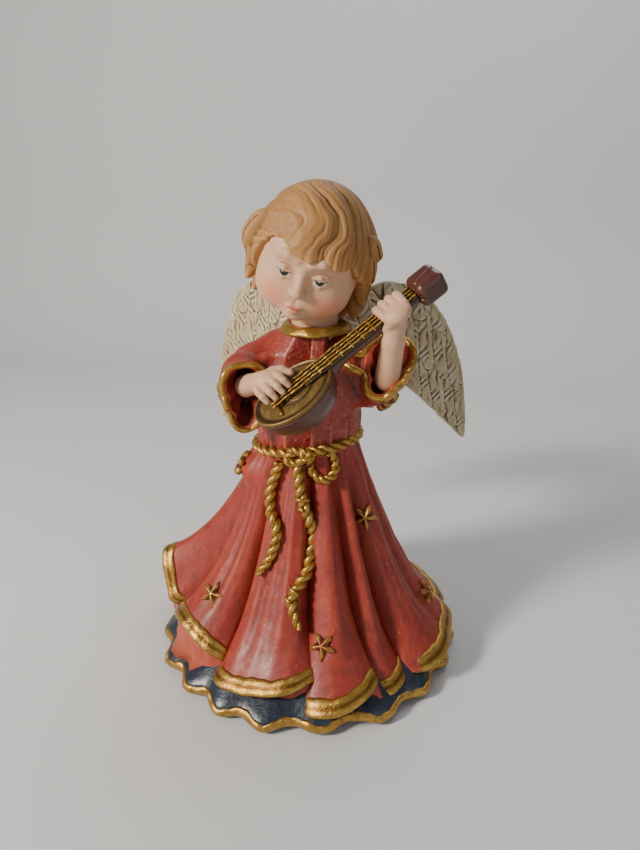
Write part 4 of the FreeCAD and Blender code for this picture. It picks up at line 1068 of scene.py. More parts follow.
def make_cuffs(solid, materials):
    """Gold edging that follows each sleeve's rim, found by feeling outwards from its middle."""
    turn = np.linspace(0, 2 * np.pi, 160, endpoint=False)
    for name, sleeve in SLEEVES.items():
        way = sleeve.across * np.cos(turn)[:, None] + sleeve.high * np.sin(turn)[:, None]
        middle = sleeve.mouth - sleeve.axis * 1.0 + sleeve.high * (-1.2)
        reach = np.linspace(2.5, 13.5, 90)
        field = np.stack([sample_field(solid[name], middle + way * r) for r in reach])
        inside = field < 0
        # the farthest step that is still cloth, or a fallback where none is
        outer = np.array([reach[np.flatnonzero(column)[-1]] if column.any() else 7.0 for column in inside.T])
        outer = ring_smooth(np.minimum(outer, np.median(outer) * 1.4), 10) + 0.05
        x, y = outer * np.cos(turn), outer * np.sin(turn)
        tangent = np.stack([np.roll(x, -1) - np.roll(x, 1), np.roll(y, -1) - np.roll(y, 1)], 1)
        tangent /= np.linalg.norm(tangent, axis=1, keepdims=True)
        out_x, out_y = tangent[:, 1], -tangent[:, 0]
        wobble = 0.42 * np.sin(6 * turn + 1.0) + 0.16 * np.sin(15 * turn)
        thick = 1.0 + 0.12 * np.sin(11 * turn + 2.0)
        rings = []
        section = [(0.2, -1.5), (1.15, -1.25), (1.75, -0.5), (1.55, 0.3), (0.7, 0.62), (-0.4, 0.60),
                   (-0.95, 0.35),
                   (-1.1, -0.1)]
        for ahead, outward in section:
            px, py = x + out_x * outward * thick, y + out_y * outward * thick
            rings.append(middle + sleeve.across * px[:, None] + sleeve.high * py[:, None]
                         + sleeve.axis * (ahead + wobble * (0.45 if ahead < 0.5 else 0.8))[:, None])
        cuff = name.replace("sleeve", "cuff")
        stuff = Stuff().grid(np.stack(rings), close_rows=True)
        build_stuff(cuff + "_gold", stuff, materials["gold"], [cuff], "gold_paint", (3, 16))


def make_collar(materials):
    turn = np.linspace(0, 2 * np.pi, 140, endpoint=False)
    rings = []
    section = [(-0.9, 0.6), (-0.4, 1.25), (0.5, 1.2), (1.4, 0.5), (2.1, -0.5), (2.4, -1.2), (1.6, -1.5),
               (0.0, -0.9)]
    for out, rise in section:
        r = 8.35 + out + 0.14 * np.sin(11 * turn + rise)
        front = np.maximum(-np.sin(turn), 0.0)
        z = NECK_TOP[2] + 1.2 + rise - 0.5 * front + 0.16 * np.sin(7 * turn + out)
        rings.append(np.stack([NECK_TOP[0] + r * np.cos(turn), NECK_TOP[1] + r * np.sin(turn), z], 1))
    stuff = Stuff().grid(np.stack(rings), close_rows=True)
    build_stuff("collar_gold", stuff, materials["gold"], ["collar_band"], "gold_paint", (3, 16))


# ---------------------------------------------------------------- head and hair

def make_head(skin):
    clay = Clay((-19, -21, -30), (19, 19, 19), 0.32)
    clay.ball((0, 0.4, 0.4), (15.4, 16.0, 16.0), 1.0)
    clay.ball((0, -6.0, 3.0), (12.4, 10.2, 8.6), 3.0)
    for side in (-1.0, 1.0):
        clay.ball((side * 6.5, -8.7, -7.2), (6.8, 6.8, 6.5), 4.0)
        clay.ball((side * 5.1, -18.6, -1.2), (2.9, 2.9, 2.1), 2.2, sign=-1.0)
        clay.ball((side * 5.1, -13.6, -1.5), (3.0, 2.4, 2.2), 0.9)
        # upper lid, soft bag and brow
        clay.rod([(side * 2.9, -15.8, -1.3), (side * 5.1, -16.1, -0.55), (side * 7.4, -14.9, -1.3)],
                 [0.25, 0.42, 0.2], 0.5)
        clay.rod([(side * 3.2, -15.5, -2.8), (side * 5.1, -15.6, -3.2), (side * 7.0, -14.6, -2.7)],
                 [0.2, 0.35, 0.2], 0.8)
        clay.rod([(side * 2.0, -16.4, 2.2), (side * 5.0, -16.2, 3.2), (side * 8.2, -14.2, 2.2)],
                 [0.5, 0.6, 0.3], 2.0)
    clay.ball((0, -8.2, -8.6), (9.4, 8.0, 7.0), 3.0)
    clay.ball((0, -13.6, -13.2), (2.8, 2.1, 2.0), 2.4)
    # button nose
    clay.rod([(0, -15.7, 0.4), (0, -16.7, -3.2), (0, -17.6, -5.4)], [0.9, 0.95, 1.3], 1.6)
    clay.ball((0, -17.8, -6.0), (1.6, 1.5, 1.35), 0.8)
    for side in (-1.0, 1.0):
        clay.ball((side * 1.35, -16.8, -6.4), (1.0, 1.1, 0.85), 0.7)
        clay.ball((side * 0.65, -17.5, -7.3), (0.4, 0.6, 0.3), 0.4, sign=-1.0)
        # lips, a little turned down at their corners
        clay.ball((side * 0.95, -15.9, -10.35), (1.4, 1.05, 0.75), 0.7)
    clay.ball((0, -15.7, -11.8), (1.5, 1.15, 0.85), 0.7)
    clay.rod([(-2.2, -16.2, -11.5), (-0.9, -17.1, -11.0), (0, -17.05, -11.1), (0.9, -17.1, -11.0),
              (2.2, -16.2, -11.5)],
             [0.15, 0.26, 0.26, 0.26, 0.15], 0.35, sign=-1.0)
    clay.ball((0, -16.9, -8.9), (0.5, 0.8, 0.8), 0.6, sign=-1.0)
    # neck, upright in the figure's frame
    foot = (NECK_TOP + (0, 0, -3.5) - HEAD_CENTRE) @ HEAD_AXES
    top = np.array([0.2, -1.0, -6.0]) @ HEAD_AXES
    clay.rod([foot, top], [6.6, 7.4], 2.0)
    build_clay("angel_head", clay, from_head, skin, ["head"], "skin_paint", (4, 40))


HAIR_CENTRE = np.array([0.0, 0.5, 0.6])
HAIR_RADII = np.array([17.5, 18.9, 19.3])
CROWN = unit((0.05, 0.42, 0.91))
# how low the hair reaches round the head: direction from the face (degrees, + to the figure's left), height
HAIR_EDGE = [(-180, -16.5), (-140, -16.0), (-110, -14.0), (-92, -12.0), (-79, -9.0), (-66, -4.5),
             (-57, 0.5),
             (-48, 4.3), (-38, 6.2), (-26, 6.0), (-14, 5.0), (0, 4.0), (14, 3.6), (28, 3.4), (38, 2.9),
             (51, 1.6),
             (66, -1.6), (80, -5.0), (92, -9.0), (110, -13.0), (140, -16.0), (180, -16.5)]


def hair_shell(x, y, z):
    """Smooth cap of hair, carved along the way the locks run from the crown."""
    q = [(x - HAIR_CENTRE[0]), (y - HAIR_CENTRE[1]), (z - HAIR_CENTRE[2])]
    near = np.sqrt(sum((q[i] / HAIR_RADII[i]) ** 2 for i in range(3)))
    long = np.sqrt(sum(v ** 2 for v in q)) + 1e-6
    front = unit(np.array([0.0, -1.0, 0.0]) + CROWN * CROWN[1])
    side = np.cross(CROWN, front)

    def along(axis):
        return sum(q[i] * axis[i] for i in range(3)) / long
    polar = np.arccos(np.clip(along(CROWN), -1, 1))
    turn = np.arctan2(along(side), along(front))
    # the fringe is brushed across the forehead to the figure's left
    brushed = 1.10 * smooth_step(0.25, 1.45, polar) * np.exp(-((turn - 0.15) / 1.0) ** 2)
    flick = -0.35 * smooth_step(1.0, 1.9, polar) * np.exp(-((turn + 1.35) / 0.5) ** 2)
    flow = (turn - brushed - flick + 0.07 * np.sin(4.4 * polar + 2.0 * turn)
            + 0.035 * np.sin(9.0 * polar - 3.0 * turn + 1.0))
    flow = flow + 0.11 * waves(x, y, z, 10.0, 41)
    locks = 4.5 * flow / math.pi + 0.16 * np.sin(3.0 * flow + 2.0 * polar)
    big = np.abs(np.sin(math.pi * locks)) ** 0.8
    strands = np.abs(np.sin(math.pi * (3.3 * locks + 0.35 * np.sin(5.0 * polar + 3.0 * flow)))) ** 0.6
    fine = np.abs(np.sin(math.pi * (7.7 * locks + 0.3 * np.sin(7.0 * polar))))
    fade = smooth_step(0.15, 1.0, polar)
    carve = ((0.85 * fade + 0.10) * (big - 0.70) + (0.24 * fade + 0.08) * (strands - 0.7)
             + 0.13 * fade * (fine - 0.6))
    swell = 0.55 * np.sin(3.0 * polar + 2.4 * turn) * fade
    outer = (near - 1.0) * 17.8 - carve - swell
    compass = np.degrees(np.arctan2(x, -y))
    marks, heights = zip(*HAIR_EDGE)
    edge = np.interp(compass, marks, heights) - 2.3 * (big - 0.55) - 0.6 * (strands - 0.5)
    below = (edge - z) * 0.8
    soft = 1.3
    share = np.clip(0.5 + 0.5 * (below - outer) / soft, 0, 1)
    return outer + (below - outer) * share + soft * share * (1 - share)


def drawn_in(spots):
    """Curl paths kept close to the cheeks: only what stands out past the cap is pulled in."""
    past = np.maximum(np.abs(spots[:, 0]) - 15.0, 0.0)
    share = np.where(spots[:, 0] > 0, 0.48, 0.32)
    return spots - np.stack([np.sign(spots[:, 0]) * past * share, 0 * past, 0 * past], 1)


def make_hair(materials):
    clay = Clay((-23, -22, -22), (24, 23, 22), 0.30)
    part, x, y, z = clay.window(clay.low, clay.low + clay.step * (np.array(clay.dist.shape) - 1))
    clay.dist[part] = hair_shell(x, y, z).astype(np.float32)
    # curls that flick out by the ears and the nape: path and thickness
    curls = (
        ([(-14.5, -6.5, 8.5), (-17.6, -6.0, 4.5), (-19.0, -4.5, 0.0), (-19.6, -2.5, -2.6),
          (-20.2, -1.5, -3.4)], (1.8, 2.5, 2.7, 1.9, 0.7)),
        ([(-14.8, -4.0, 6.0), (-16.6, -4.4, 0.0), (-17.0, -4.6, -4.2), (-17.8, -5.6, -6.4)],
         (2.0, 2.5, 2.1, 0.6)),
        ([(-14.6, -1.5, 0.0), (-16.2, -1.5, -5.0), (-16.6, -2.6, -9.0), (-17.2, -4.4, -10.6)],
         (2.2, 2.6, 2.1, 0.6)),
        ([(-12.5, 5.0, -6.0), (-14.0, 4.0, -11.0), (-14.0, 2.0, -14.0), (-14.6, 0.0, -15.0)],
         (3.0, 3.0, 2.2, 0.7)),
        ([(14.8, -4.5, 9.0), (17.6, -4.0, 6.6), (19.6, -3.2, 5.6), (20.8, -2.6, 6.2)],
         (1.8, 2.3, 1.7, 0.7)),
        ([(15.4, -5.0, 5.0), (17.8, -4.6, 0.5), (19.4, -4.0, -1.2), (20.6, -3.4, -0.8)],
         (2.0, 2.5, 1.9, 0.7)),
        ([(15.2, -2.0, 0.0), (17.2, -2.4, -5.2), (18.8, -2.6, -8.0), (20.0, -2.4, -8.2)],
         (2.2, 2.5, 1.9, 0.7)),
        ([(14.0, 1.0, -5.0), (15.8, 0.0, -10.0), (16.6, -1.0, -13.2), (17.8, -1.8, -14.0)],
         (2.6, 2.6, 2.0, 0.6)),
        ([(11.0, 6.0, -9.0), (12.0, 5.0, -14.0), (11.6, 3.0, -17.0), (12.2, 1.0, -18.2)],
         (3.2, 2.8, 2.0, 0.7)),
        ([(4.0, 11.5, -10.0), (4.5, 10.5, -15.0), (3.8, 8.6, -18.0), (3.2, 7.0, -18.8)],
         (3.6, 3.0, 2.0, 0.8)),
        ([(-5.0, 11.5, -9.0), (-6.0, 10.0, -14.0), (-6.4, 8.0, -17.0), (-7.4, 6.0, -17.8)],
         (3.6, 3.0, 2.0, 0.8)),
    )
    for path, girth in curls:
        spots = drawn_in(catmull(path, 13, False))
        clay.rod(spots, np.interp(np.linspace(0, 1, 13), np.linspace(0, 1, len(girth)), girth), 0.8)
    for path, girth in curls:
        # two grooves cut along each curl
        spots = drawn_in(catmull(path, 13, False))
        thick = np.interp(np.linspace(0, 1, 13), np.linspace(0, 1, len(girth)), girth)
        ahead = np.gradient(spots, axis=0)
        out = spots * (1, 1, 0.15)
        across = np.cross(ahead, out)
        across /= np.linalg.norm(across, axis=1, keepdims=True)
        lift = np.cross(across, ahead)
        lift /= np.linalg.norm(lift, axis=1, keepdims=True)
        lift *= np.sign((lift * out).sum(1, keepdims=True))
        for way in (-0.45, 0.35):
            clay.rod((spots + (across * way + lift * 0.93) * thick[:, None])[1:-1], 0.26, 0.35,
                     sign=-1.0)
    # the face and throat stay free
    clay.ball((0.0, -19.0, -12.0), (12.0, 12.0, 13.8), 0.8, sign=-1.0)
    clay.ball((0, -8.0, -20.5), (12.0, 10.0, 8.5), 1.0, sign=-1.0)
    build_clay("angel_hair", clay, from_head, materials["hair"], ["hair"], "hair_paint", (3, 30))


# ---------------------------------------------------------------- mandolin

MANDOLIN_AXIS = unit((0.73, 0.35, 0.595))
_facing = np.array([-0.45, -0.58, 0.68])
MANDOLIN_FACE = unit(_facing - MANDOLIN_AXIS * (_facing @ MANDOLIN_AXIS))
MANDOLIN_ACROSS = np.cross(MANDOLIN_FACE, MANDOLIN_AXIS)
MANDOLIN_CENTRE = np.array([1.8, -(27.0 / 2 + BOWL_DEEP - 1.5), WAIST_Z + 21.3])
MANDOLIN_TURN = np.stack([MANDOLIN_AXIS, MANDOLIN_ACROSS, MANDOLIN_FACE])


def from_mandolin(points):
    """Places points of the mandolin's frame: X along the neck, Y across, Z out of the board."""
    return np.asarray(points, float) @ MANDOLIN_TURN + MANDOLIN_CENTRE


def to_mandolin(points):
    return (np.asarray(points, float) - MANDOLIN_CENTRE) @ MANDOLIN_TURN.T


FRET_TOP = BOARD_THICK + FRET_THICK
BOARD_END = BOWL_LONG * 0.06 + HOLE_RADIUS + 1.0
BRIDGE_X = -BOWL_LONG * 0.26


def make_mandolin(materials):
    turn = np.linspace(0, 2 * np.pi, 120, endpoint=False)
    outline = np.stack([BOWL_LONG / 2 * np.cos(turn), BOWL_WIDE / 2 * np.sin(turn)], 1)
    # bowl with shallow ribs along its length
    rows = []
    for k in range(28):
        sink = math.pi / 2 * k / 27
        across = np.abs(outline[:, 1]) * math.cos(sink) + 1e-6
        rib = 1.0 - 0.018 * np.abs(np.sin(6.5 * np.arctan2(math.sin(sink) * BOWL_DEEP, across)))
        xy = outline * (math.cos(sink) ** 0.92 if k < 27 else 0.0) * rib[:, None]
        rows.append(np.column_stack([xy, -BOWL_DEEP * math.sin(sink) * rib]))
    stuff = Stuff().grid(from_mandolin(np.stack(rows)), cap_first=True, cap_last=True)
    build_stuff("mandolin_back", stuff, materials["bowl"], ["mandolin_bowl"], "bowl_paint", (3, 20))

    # soundboard: a domed plate with a raised rim, a rosette and a sound hole
    hole = np.array([BOWL_LONG * 0.06, 0.0])
    profile = [(0.992, 0.0), (1.0, 0.35), (1.0, 0.95), (0.985, 1.25), (0.955, 1.28), (0.935, 1.12),
               (0.92, 1.0), (0.80, 1.08)]
    rows = [np.column_stack([outline * s, np.full(len(turn), z)]) for s, z in profile]
    ring = np.stack([np.cos(turn), np.sin(turn)], 1)
    edge = hole + ring * (HOLE_RADIUS + 1.5)
    for s in (0.34, 0.68):
        rows.append(np.column_stack([outline * 0.80 * (1 - s) + edge * s, np.full(len(turn), 1.10)]))
    for r, z in ((1.45, 1.12), (1.2, 1.28), (0.9, 1.30), (0.7, 1.14), (0.45, 1.28), (0.15, 1.28),
                 (0.0, 1.1), (0.0, 0.62)):
        rows.append(np.column_stack([hole + ring * (HOLE_RADIUS + r), np.full(len(turn), z)]))
    rows.append(np.column_stack([hole + ring * 0.6, np.full(len(turn), 0.60)]))
    stuff = Stuff().grid(from_mandolin(np.stack(rows)), cap_first=True, cap_last=True)
    build_stuff("mandolin_front", stuff, materials["board"], ["mandolin_soundboard"], "board_paint",
                (3, 14))

    # bridge with a raised middle
    bridge = Clay((BRIDGE_X - 3, -8, 0), (BRIDGE_X + 5, 8, 4), 0.2)
    bridge.rod([(BRIDGE_X + 0.8, -5.0, 1.5), (BRIDGE_X + 0.8, 0, 1.7), (BRIDGE_X + 0.8, 5.0, 1.5)],
               [0.6, 0.8, 0.6], 0.4)
    build_clay("mandolin_bridge_bar", bridge, from_mandolin, materials["gold"], ["mandolin_bridge"],
               "gold_paint")

    # neck with a round back
    length = np.linspace(BOWL_LONG / 2 - 1.0, NECK_END, 40)
    half = NECK_WIDE / 2
    arc = np.linspace(0, np.pi, 15)
    rings = []
    for x in length:
        heel = 1.0 + 0.5 * math.exp(-((x - BOWL_LONG / 2) / 3.0) ** 2)
        back = np.stack([np.full(15, x), -half * np.cos(arc), 1.15 - 3.0 * heel * np.sin(arc)], 1)
        rings.append(back)
    stuff = Stuff().grid(from_mandolin(np.stack(rings)), cap_first=True, cap_last=True)
    build_stuff("mandolin_neck_back", stuff, materials["bowl"], ["mandolin_neck"], "bowl_paint")

    # fretboard, soft-edged
    rings = []
    for x in np.linspace(BOARD_END, NECK_END, 60):
        sag = 0.04 * math.sin(2.0 * x)
        section = [(-half, 1.18), (-half - 0.02, 1.8), (-half + 0.25, FRET_TOP + sag),
                   (0, FRET_TOP + 0.05 + sag),
                   (half - 0.25, FRET_TOP + sag), (half + 0.02, 1.8), (half, 1.18)]
        rings.append([(x, y, z) for y, z in section])
    stuff = Stuff().grid(from_mandolin(np.array(rings)), cap_first=True, cap_last=True)
    build_stuff("mandolin_fingerboard", stuff, materials["fretboard"], ["mandolin_fretboard"],
                "board_paint")

    frets = Stuff()
    gap = (NECK_END - BOARD_END) / 10
    for k in range(1, 10):
        x = BOARD_END + gap * k + 0.25
        path = from_mandolin([(x, y, FRET_TOP + 0.12) for y in np.linspace(-half, half, 7)])
        frets.tube(path, 0.30, 8)
    build_stuff("mandolin_fret_bars", frets, materials["gold"], ["mandolin_frets"], "gold_paint")

    strings = Stuff()
    for k in range(4):
        y = (k - 1.5) * NECK_WIDE / 4
        x = np.linspace(BRIDGE_X, NECK_END, 90)
        z = FRET_TOP + 0.42 + 0.05 * np.sin(1.9 * x + k)
        path = from_mandolin(np.stack([x, y * (1 + 0.06 * np.sin(0.7 * x + k)), z], 1))
        strings.tube(path, 0.34 + 0.05 * np.sin(2.6 * x + 2 * k), 8)
    build_stuff("mandolin_string_set", strings, materials["gold"], ["mandolin_strings"], "gold_paint")

    # pegbox: a blunt rounded block with a carved ridge
    start = NECK_END + 0.1
    peg = Clay((start - 2, -7, -6), (start + PEG_LONG + 3, 7, 7), 0.25)
    mid_z = BOARD_THICK + 0.45 * PEG_DEEP - PEG_DEEP / 2

    def block(x, y, z):
        soft = 1.9
        q = [np.abs(x - (start + PEG_LONG / 2)) - (PEG_LONG / 2 - soft),
             np.abs(y) - (PEG_WIDE / 2 - soft),
             np.abs(z - mid_z) - (PEG_DEEP / 2 - soft)]
        outside = np.sqrt(sum(np.maximum(v, 0.0) ** 2 for v in q))
        inside = np.minimum(np.maximum(np.maximum(q[0], q[1]), q[2]), 0.0)
        return outside + inside - soft
    peg.blend(block, (start - 1, -6, -5), (start + PEG_LONG + 2, 6, 6), 0.3)
    top = mid_z + PEG_DEEP / 2
    peg.rod([(start + 1.2, -0.6, top), (start + PEG_LONG - 0.8, 0.4, top)], [0.12, 0.2], 0.5)
    peg.rod([(start + 0.6, -PEG_WIDE / 2, mid_z), (start + 0.6, PEG_WIDE / 2, mid_z)], 0.3, 0.5,
            sign=-1.0)
    build_clay("mandolin_peghead", peg, from_mandolin, materials["pegbox"], ["mandolin_pegbox"],
               "pegbox_paint", (4, 30))


# ---------------------------------------------------------------- hands

def fingers(clay, palm, lengths, root, knuckle, tip, middle, girth):
    """Four curled fingers: sideways place and length of each; knuckle and tip as shares of them."""
    for dx, reach in lengths:
        start = palm + (dx, root[0], root[1])
        joint = start + (dx * knuckle[0] + knuckle[1], knuckle[2] * reach, knuckle[3])
        end = start + (dx * tip[0] + tip[1], tip[2] * reach, tip[3])
        clay.rod([start, joint, (joint + end) / 2 + middle, end], girth, 0.32)


def make_hands(skin):
    """Plump small hands, modelled in the mandolin's frame that they rest on."""
    palm = np.array([-0.15 * BOWL_LONG, 0.33 * BOWL_WIDE, 5.0])
    wrist = to_mandolin(RIGHT_MOUTH - RIGHT_AXIS * 4.0 + (1.0, 0, 2.5))
    clay = Clay((-24, -8, -14), (10, 22, 14), 0.25)
    way = unit(palm - wrist)
    clay.rod([wrist, palm - way * 3.0, palm], [3.4, 2.7, 2.4], 1.0)
    clay.ball(palm + (0.3, -0.6, 0.0), (4.3, 3.6, 2.2), 1.2)
    fingers(clay, palm, ((-3.2, 5.2), (-1.1, 6.2), (1.05, 6.2), (3.1, 5.4)), (-1.2, 0.5),
            (0.12, 0.3, -0.45, 0.35), (0.16, 0.6, -0.92, -1.9), (0, -0.25, 0.35),
            (1.25, 1.15, 1.02, 0.85))
    clay.rod([palm + (3.0, 1.2, 0), palm + (5.2, -0.6, -0.2), palm + (6.6, -2.6, -1.2)],
             [1.5, 1.3, 1.0], 0.5)
    build_clay("right_hand_skin", clay, from_mandolin, skin, ["right_hand"], "skin_paint", (3, 20))

    centre = np.array([NECK_END - 7.5, -0.75 * NECK_WIDE, 3.0])
    wrist = to_mandolin(LEFT_MOUTH - (0, 0, 4.0))
    low = np.minimum(wrist, centre) - 8
    high = np.maximum(wrist, centre) + 10
    clay = Clay(low, high, 0.25)
    way = unit(centre - wrist)
    clay.rod([wrist, wrist + (centre - wrist) * 0.6, centre - way * 1.5], [3.7, 3.1, 2.7], 1.2)
    clay.ball(centre + (0.0, -0.2, 0.2), (4.1, 3.5, 2.4), 1.2)
    fingers(clay, centre, ((-3.1, 6.0), (-1.05, 6.9), (1.05, 6.8), (3.0, 5.8)), (0.6, 0.9),
            (0.08, 0.0, 0.45, 0.75), (0.10, 0.0, 0.95, -1.1), (0, 0.3, 0.5), (1.3, 1.18, 1.05, 0.88))
    clay.rod([centre + (-3.0, -0.8, -0.8), centre + (-4.2, 1.2, -3.0), centre + (-4.0, 3.6, -3.8)],
             [1.4, 1.2, 1.0], 0.5)
    build_clay("left_hand_skin", clay, from_mandolin, skin, ["left_hand"], "skin_paint", (3, 20))


# ---------------------------------------------------------------- wings

WING_OUTLINE = [(0.00, 0.50), (0.02, 0.78), (0.16, 0.95), (0.38, 1.00), (0.63, 0.91), (0.82, 0.71),
                (0.95, 0.41), (1.00, 0.02), (0.86, 0.10), (0.66, 0.27), (0.44, 0.42), (0.20, 0.46)]
WING_ROOT_SHARE = 0.66


def outline_distance(px, pz, outline):
    """Signed distance in the wing's plane to its closed outline."""
    best = np.full(px.shape, 1e9)
    inside = np.zeros(px.shape, bool)
    for a, b in zip(outline, np.roll(outline, -1, 0)):
        run = b - a
        t = np.clip(((px - a[0]) * run[0] + (pz - a[1]) * run[1]) / (run @ run), 0, 1)
        best = np.minimum(best, (px - a[0] - t * run[0]) ** 2 + (pz - a[1] - t * run[1]) ** 2)
        crosses = (a[1] > pz) != (b[1] > pz)
        with np.errstate(divide="ignore", invalid="ignore"):
            inside ^= crosses & (px < a[0] + (pz - a[1]) * run[0] / (run[1] if run[1] else 1e-9))
    return np.where(inside, -1.0, 1.0) * np.sqrt(best)


def feather(px, pz, height, base, tip, width, level, bend):
    """Lays one feather over the relief: a raised leaf with a quill and slanting barbs."""
    base, tip = np.asarray(base, float), np.asarray(tip, float)
    run = tip - base
    length = np.linalg.norm(run)
    along = run / length
    side = np.array([-along[1], along[0]])
    s = ((px - base[0]) * along[0] + (pz - base[1]) * along[1]) / length
    v = (px - base[0]) * side[0] + (pz - base[1]) * side[1] - bend * np.sin(np.clip(s, 0, 1) * np.pi)
    girth = width * np.sqrt(np.clip(1.0 - np.clip((s - 0.62) / 0.38, 0, 1) ** 2, 0, 1)) * np.clip(0.55
                                                                                                  + s,
                                                                                                  0, 1)
    mask = (s > 0) & (s < 1) & (np.abs(v) < girth)
    across = np.abs(v) / np.maximum(girth, 1e-3)
    dome = 1.0 * np.sqrt(np.clip(1 - across ** 2, 0, 1))
    quill = 0.55 * np.exp(-(v / 0.40) ** 2) * np.clip(1.15 - s, 0, 1)
    slant = (s * length * 0.26 - np.abs(v) * 0.30
             + 0.45 * np.sin(0.55 * s * length + 1.7 * base[0]) * np.sign(v))
    tall = 0.22 + 0.14 * np.sin(0.9 * s * length + base[1])
    barbs = tall * np.sin(2 * np.pi * slant) * smooth_step(0.35, 0.8, np.abs(v))
    raised = level + 0.35 * s + dome + quill + barbs
    return np.where(mask, np.maximum(raised, level * 0.5), height)


# Rows of feathers from the longest: the line of their tips and of their roots (share of the span,
# height above the wing's lowest point), how many, half width, height of the row and bend.
WING_ROWS = (
    (((0.99, 1.0), (0.92, 5.0), (0.82, 9.5), (0.72, 14.0), (0.62, 19.0), (0.50, 24.0), (0.38, 26.5),
      (0.26, 27.5), (0.12, 28.5)),
     ((0.80, 43.6), (0.66, 48.1), (0.50, 49.1), (0.30, 47.1), (0.12, 43.6)), 9, 4.3, 0.15, 1.2),
    (((0.90, 20.0), (0.78, 25.0), (0.62, 30.5), (0.46, 35.5), (0.30, 37.0), (0.13, 36.0)),
     ((0.80, 46.0), (0.66, 52.0), (0.50, 54.0), (0.32, 52.5), (0.12, 47.0)), 7, 4.3, 0.60, 0.8),
    (((0.88, 36.0), (0.74, 42.0), (0.58, 46.5), (0.40, 48.0), (0.22, 45.0), (0.08, 42.0)),
     ((0.84, 49.0), (0.66, 57.0), (0.46, 60.5), (0.24, 58.5), (0.06, 50.0)), 6, 4.6, 1.0, 0.5),
)
FEATHER_SCATTER = 0.9


def wing_relief(px, pz, seed):
    """Height of the feathers above the wing's core, in three overlapping rows."""
    random = np.random.default_rng(seed)
    height = np.zeros(px.shape)
    span, drop = WING_SPAN, WING_ROOT_SHARE * WING_TALL
    low = -drop
    for tips, bases, count, width, level, bend in WING_ROWS:
        tips = catmull([(share * span, low + above) for share, above in tips], count, False)
        bases = catmull([(share * span, low + above) for share, above in bases], count, False)
        for tip, base in list(zip(tips, bases))[::-1]:
            root = base + random.normal(size=2) * FEATHER_SCATTER
            height = feather(px, pz, height, root, tip, width, level, bend)
    scratch = 0.10 * waves(px * 1.0, pz * 0.55, 0.0, 1.6, seed + 5, 2)
    return height + scratch


def make_wing(name, materials):
    sweep = WING_SWEEPS[name]
    side = 1.0 if sweep > 0 else -1.0
    step = 0.30
    clay = Clay((-6, -3.6, -42), (57, 3.6, 24), step)
    part, x, y, z = clay.window(clay.low, clay.low + step * (np.array(clay.dist.shape) - 1))
    flat = np.asarray(WING_OUTLINE) * (WING_SPAN, WING_TALL) - (0, WING_ROOT_SHARE * WING_TALL)
    outline = catmull(np.column_stack([flat, np.zeros(len(flat))]), 200, True)[:, :2]
    px, pz = np.broadcast_arrays(x[:, 0, 0][:, None], z[0, 0, :][None, :])
    ragged = 0.35 * waves(px, pz, 0.0, 5.0, 8)
    edge = outline_distance(px, pz, outline) + 0.5 + ragged
    front = wing_relief(px, pz, 21) * 0.58
    back = wing_relief(px, pz, 34) * 0.58
    rim = smooth_step(0.0, 3.5, -edge)
    front_side = 0.35 + front * (0.35 + 0.65 * rim)
    back_side = 0.35 + back * (0.35 + 0.65 * rim)
    # the front of a wing looks to -Y
    dist = np.maximum(-y - front_side[:, None, :], y - back_side[:, None, :])
    clay.dist[part] = np.maximum(dist, np.broadcast_to(edge[:, None, :], dist.shape)).astype(np.float32)
    clay.blend(lambda x, y, z: np.maximum(np.maximum(np.abs(x + 0.5) - 4.5, np.abs(y) - 1.4),
                                          np.abs(z) - 4.9),
               (-6, -2, -6), (5, 2, 6), 0.3)
    verts, faces = clay.mesh()
    verts[:, 0] *= side
    if side < 0:
        faces = faces[:, ::-1]
    verts = verts @ rotation("Z", sweep).T + WING_ROOT * (side, 1, 1)
    build(name + "_feathers", verts, faces, materials["wing"], [name], "wing_paint", (3, 26))


# ---------------------------------------------------------------- ropes

def rope(stuff, path, radius, pitch, taper=True):
    """Twisted rope: two strands that wind round the path, thinner at a loose end."""
    path = np.asarray(path, float)
    ahead = np.gradient(path, axis=0)
    ahead /= np.linalg.norm(ahead, axis=1, keepdims=True)
    across, high = carried_frame(ahead, ROPE_START)
    run = np.concatenate([[0], np.cumsum(np.linalg.norm(np.diff(path, axis=0), axis=1))])
    girth = np.full(len(path), radius)
    if taper:
        girth *= 1.0 - 0.35 * smooth_step(run[-1] - 8.0, run[-1], run)
    for k in range(STRANDS):
        turn = 2 * np.pi * (run / pitch + k / STRANDS)
        centre = path + (across * np.cos(turn)[:, None] + high * np.sin(turn)[:, None]) * (girth
                                                                                           * 0.47)[:,
                                                                                                   None]
        stuff.tube(centre, girth * 0.61, 12)


def on_skirt(skirt, points, clear, count):
    """Smooth path over the skirt through (direction, share) points."""
    placed = []
    for degrees, share in points:
        spot, normal = skirt.point(degrees, share)
        placed.append(spot + normal * clear)
    return catmull(placed, count, False)


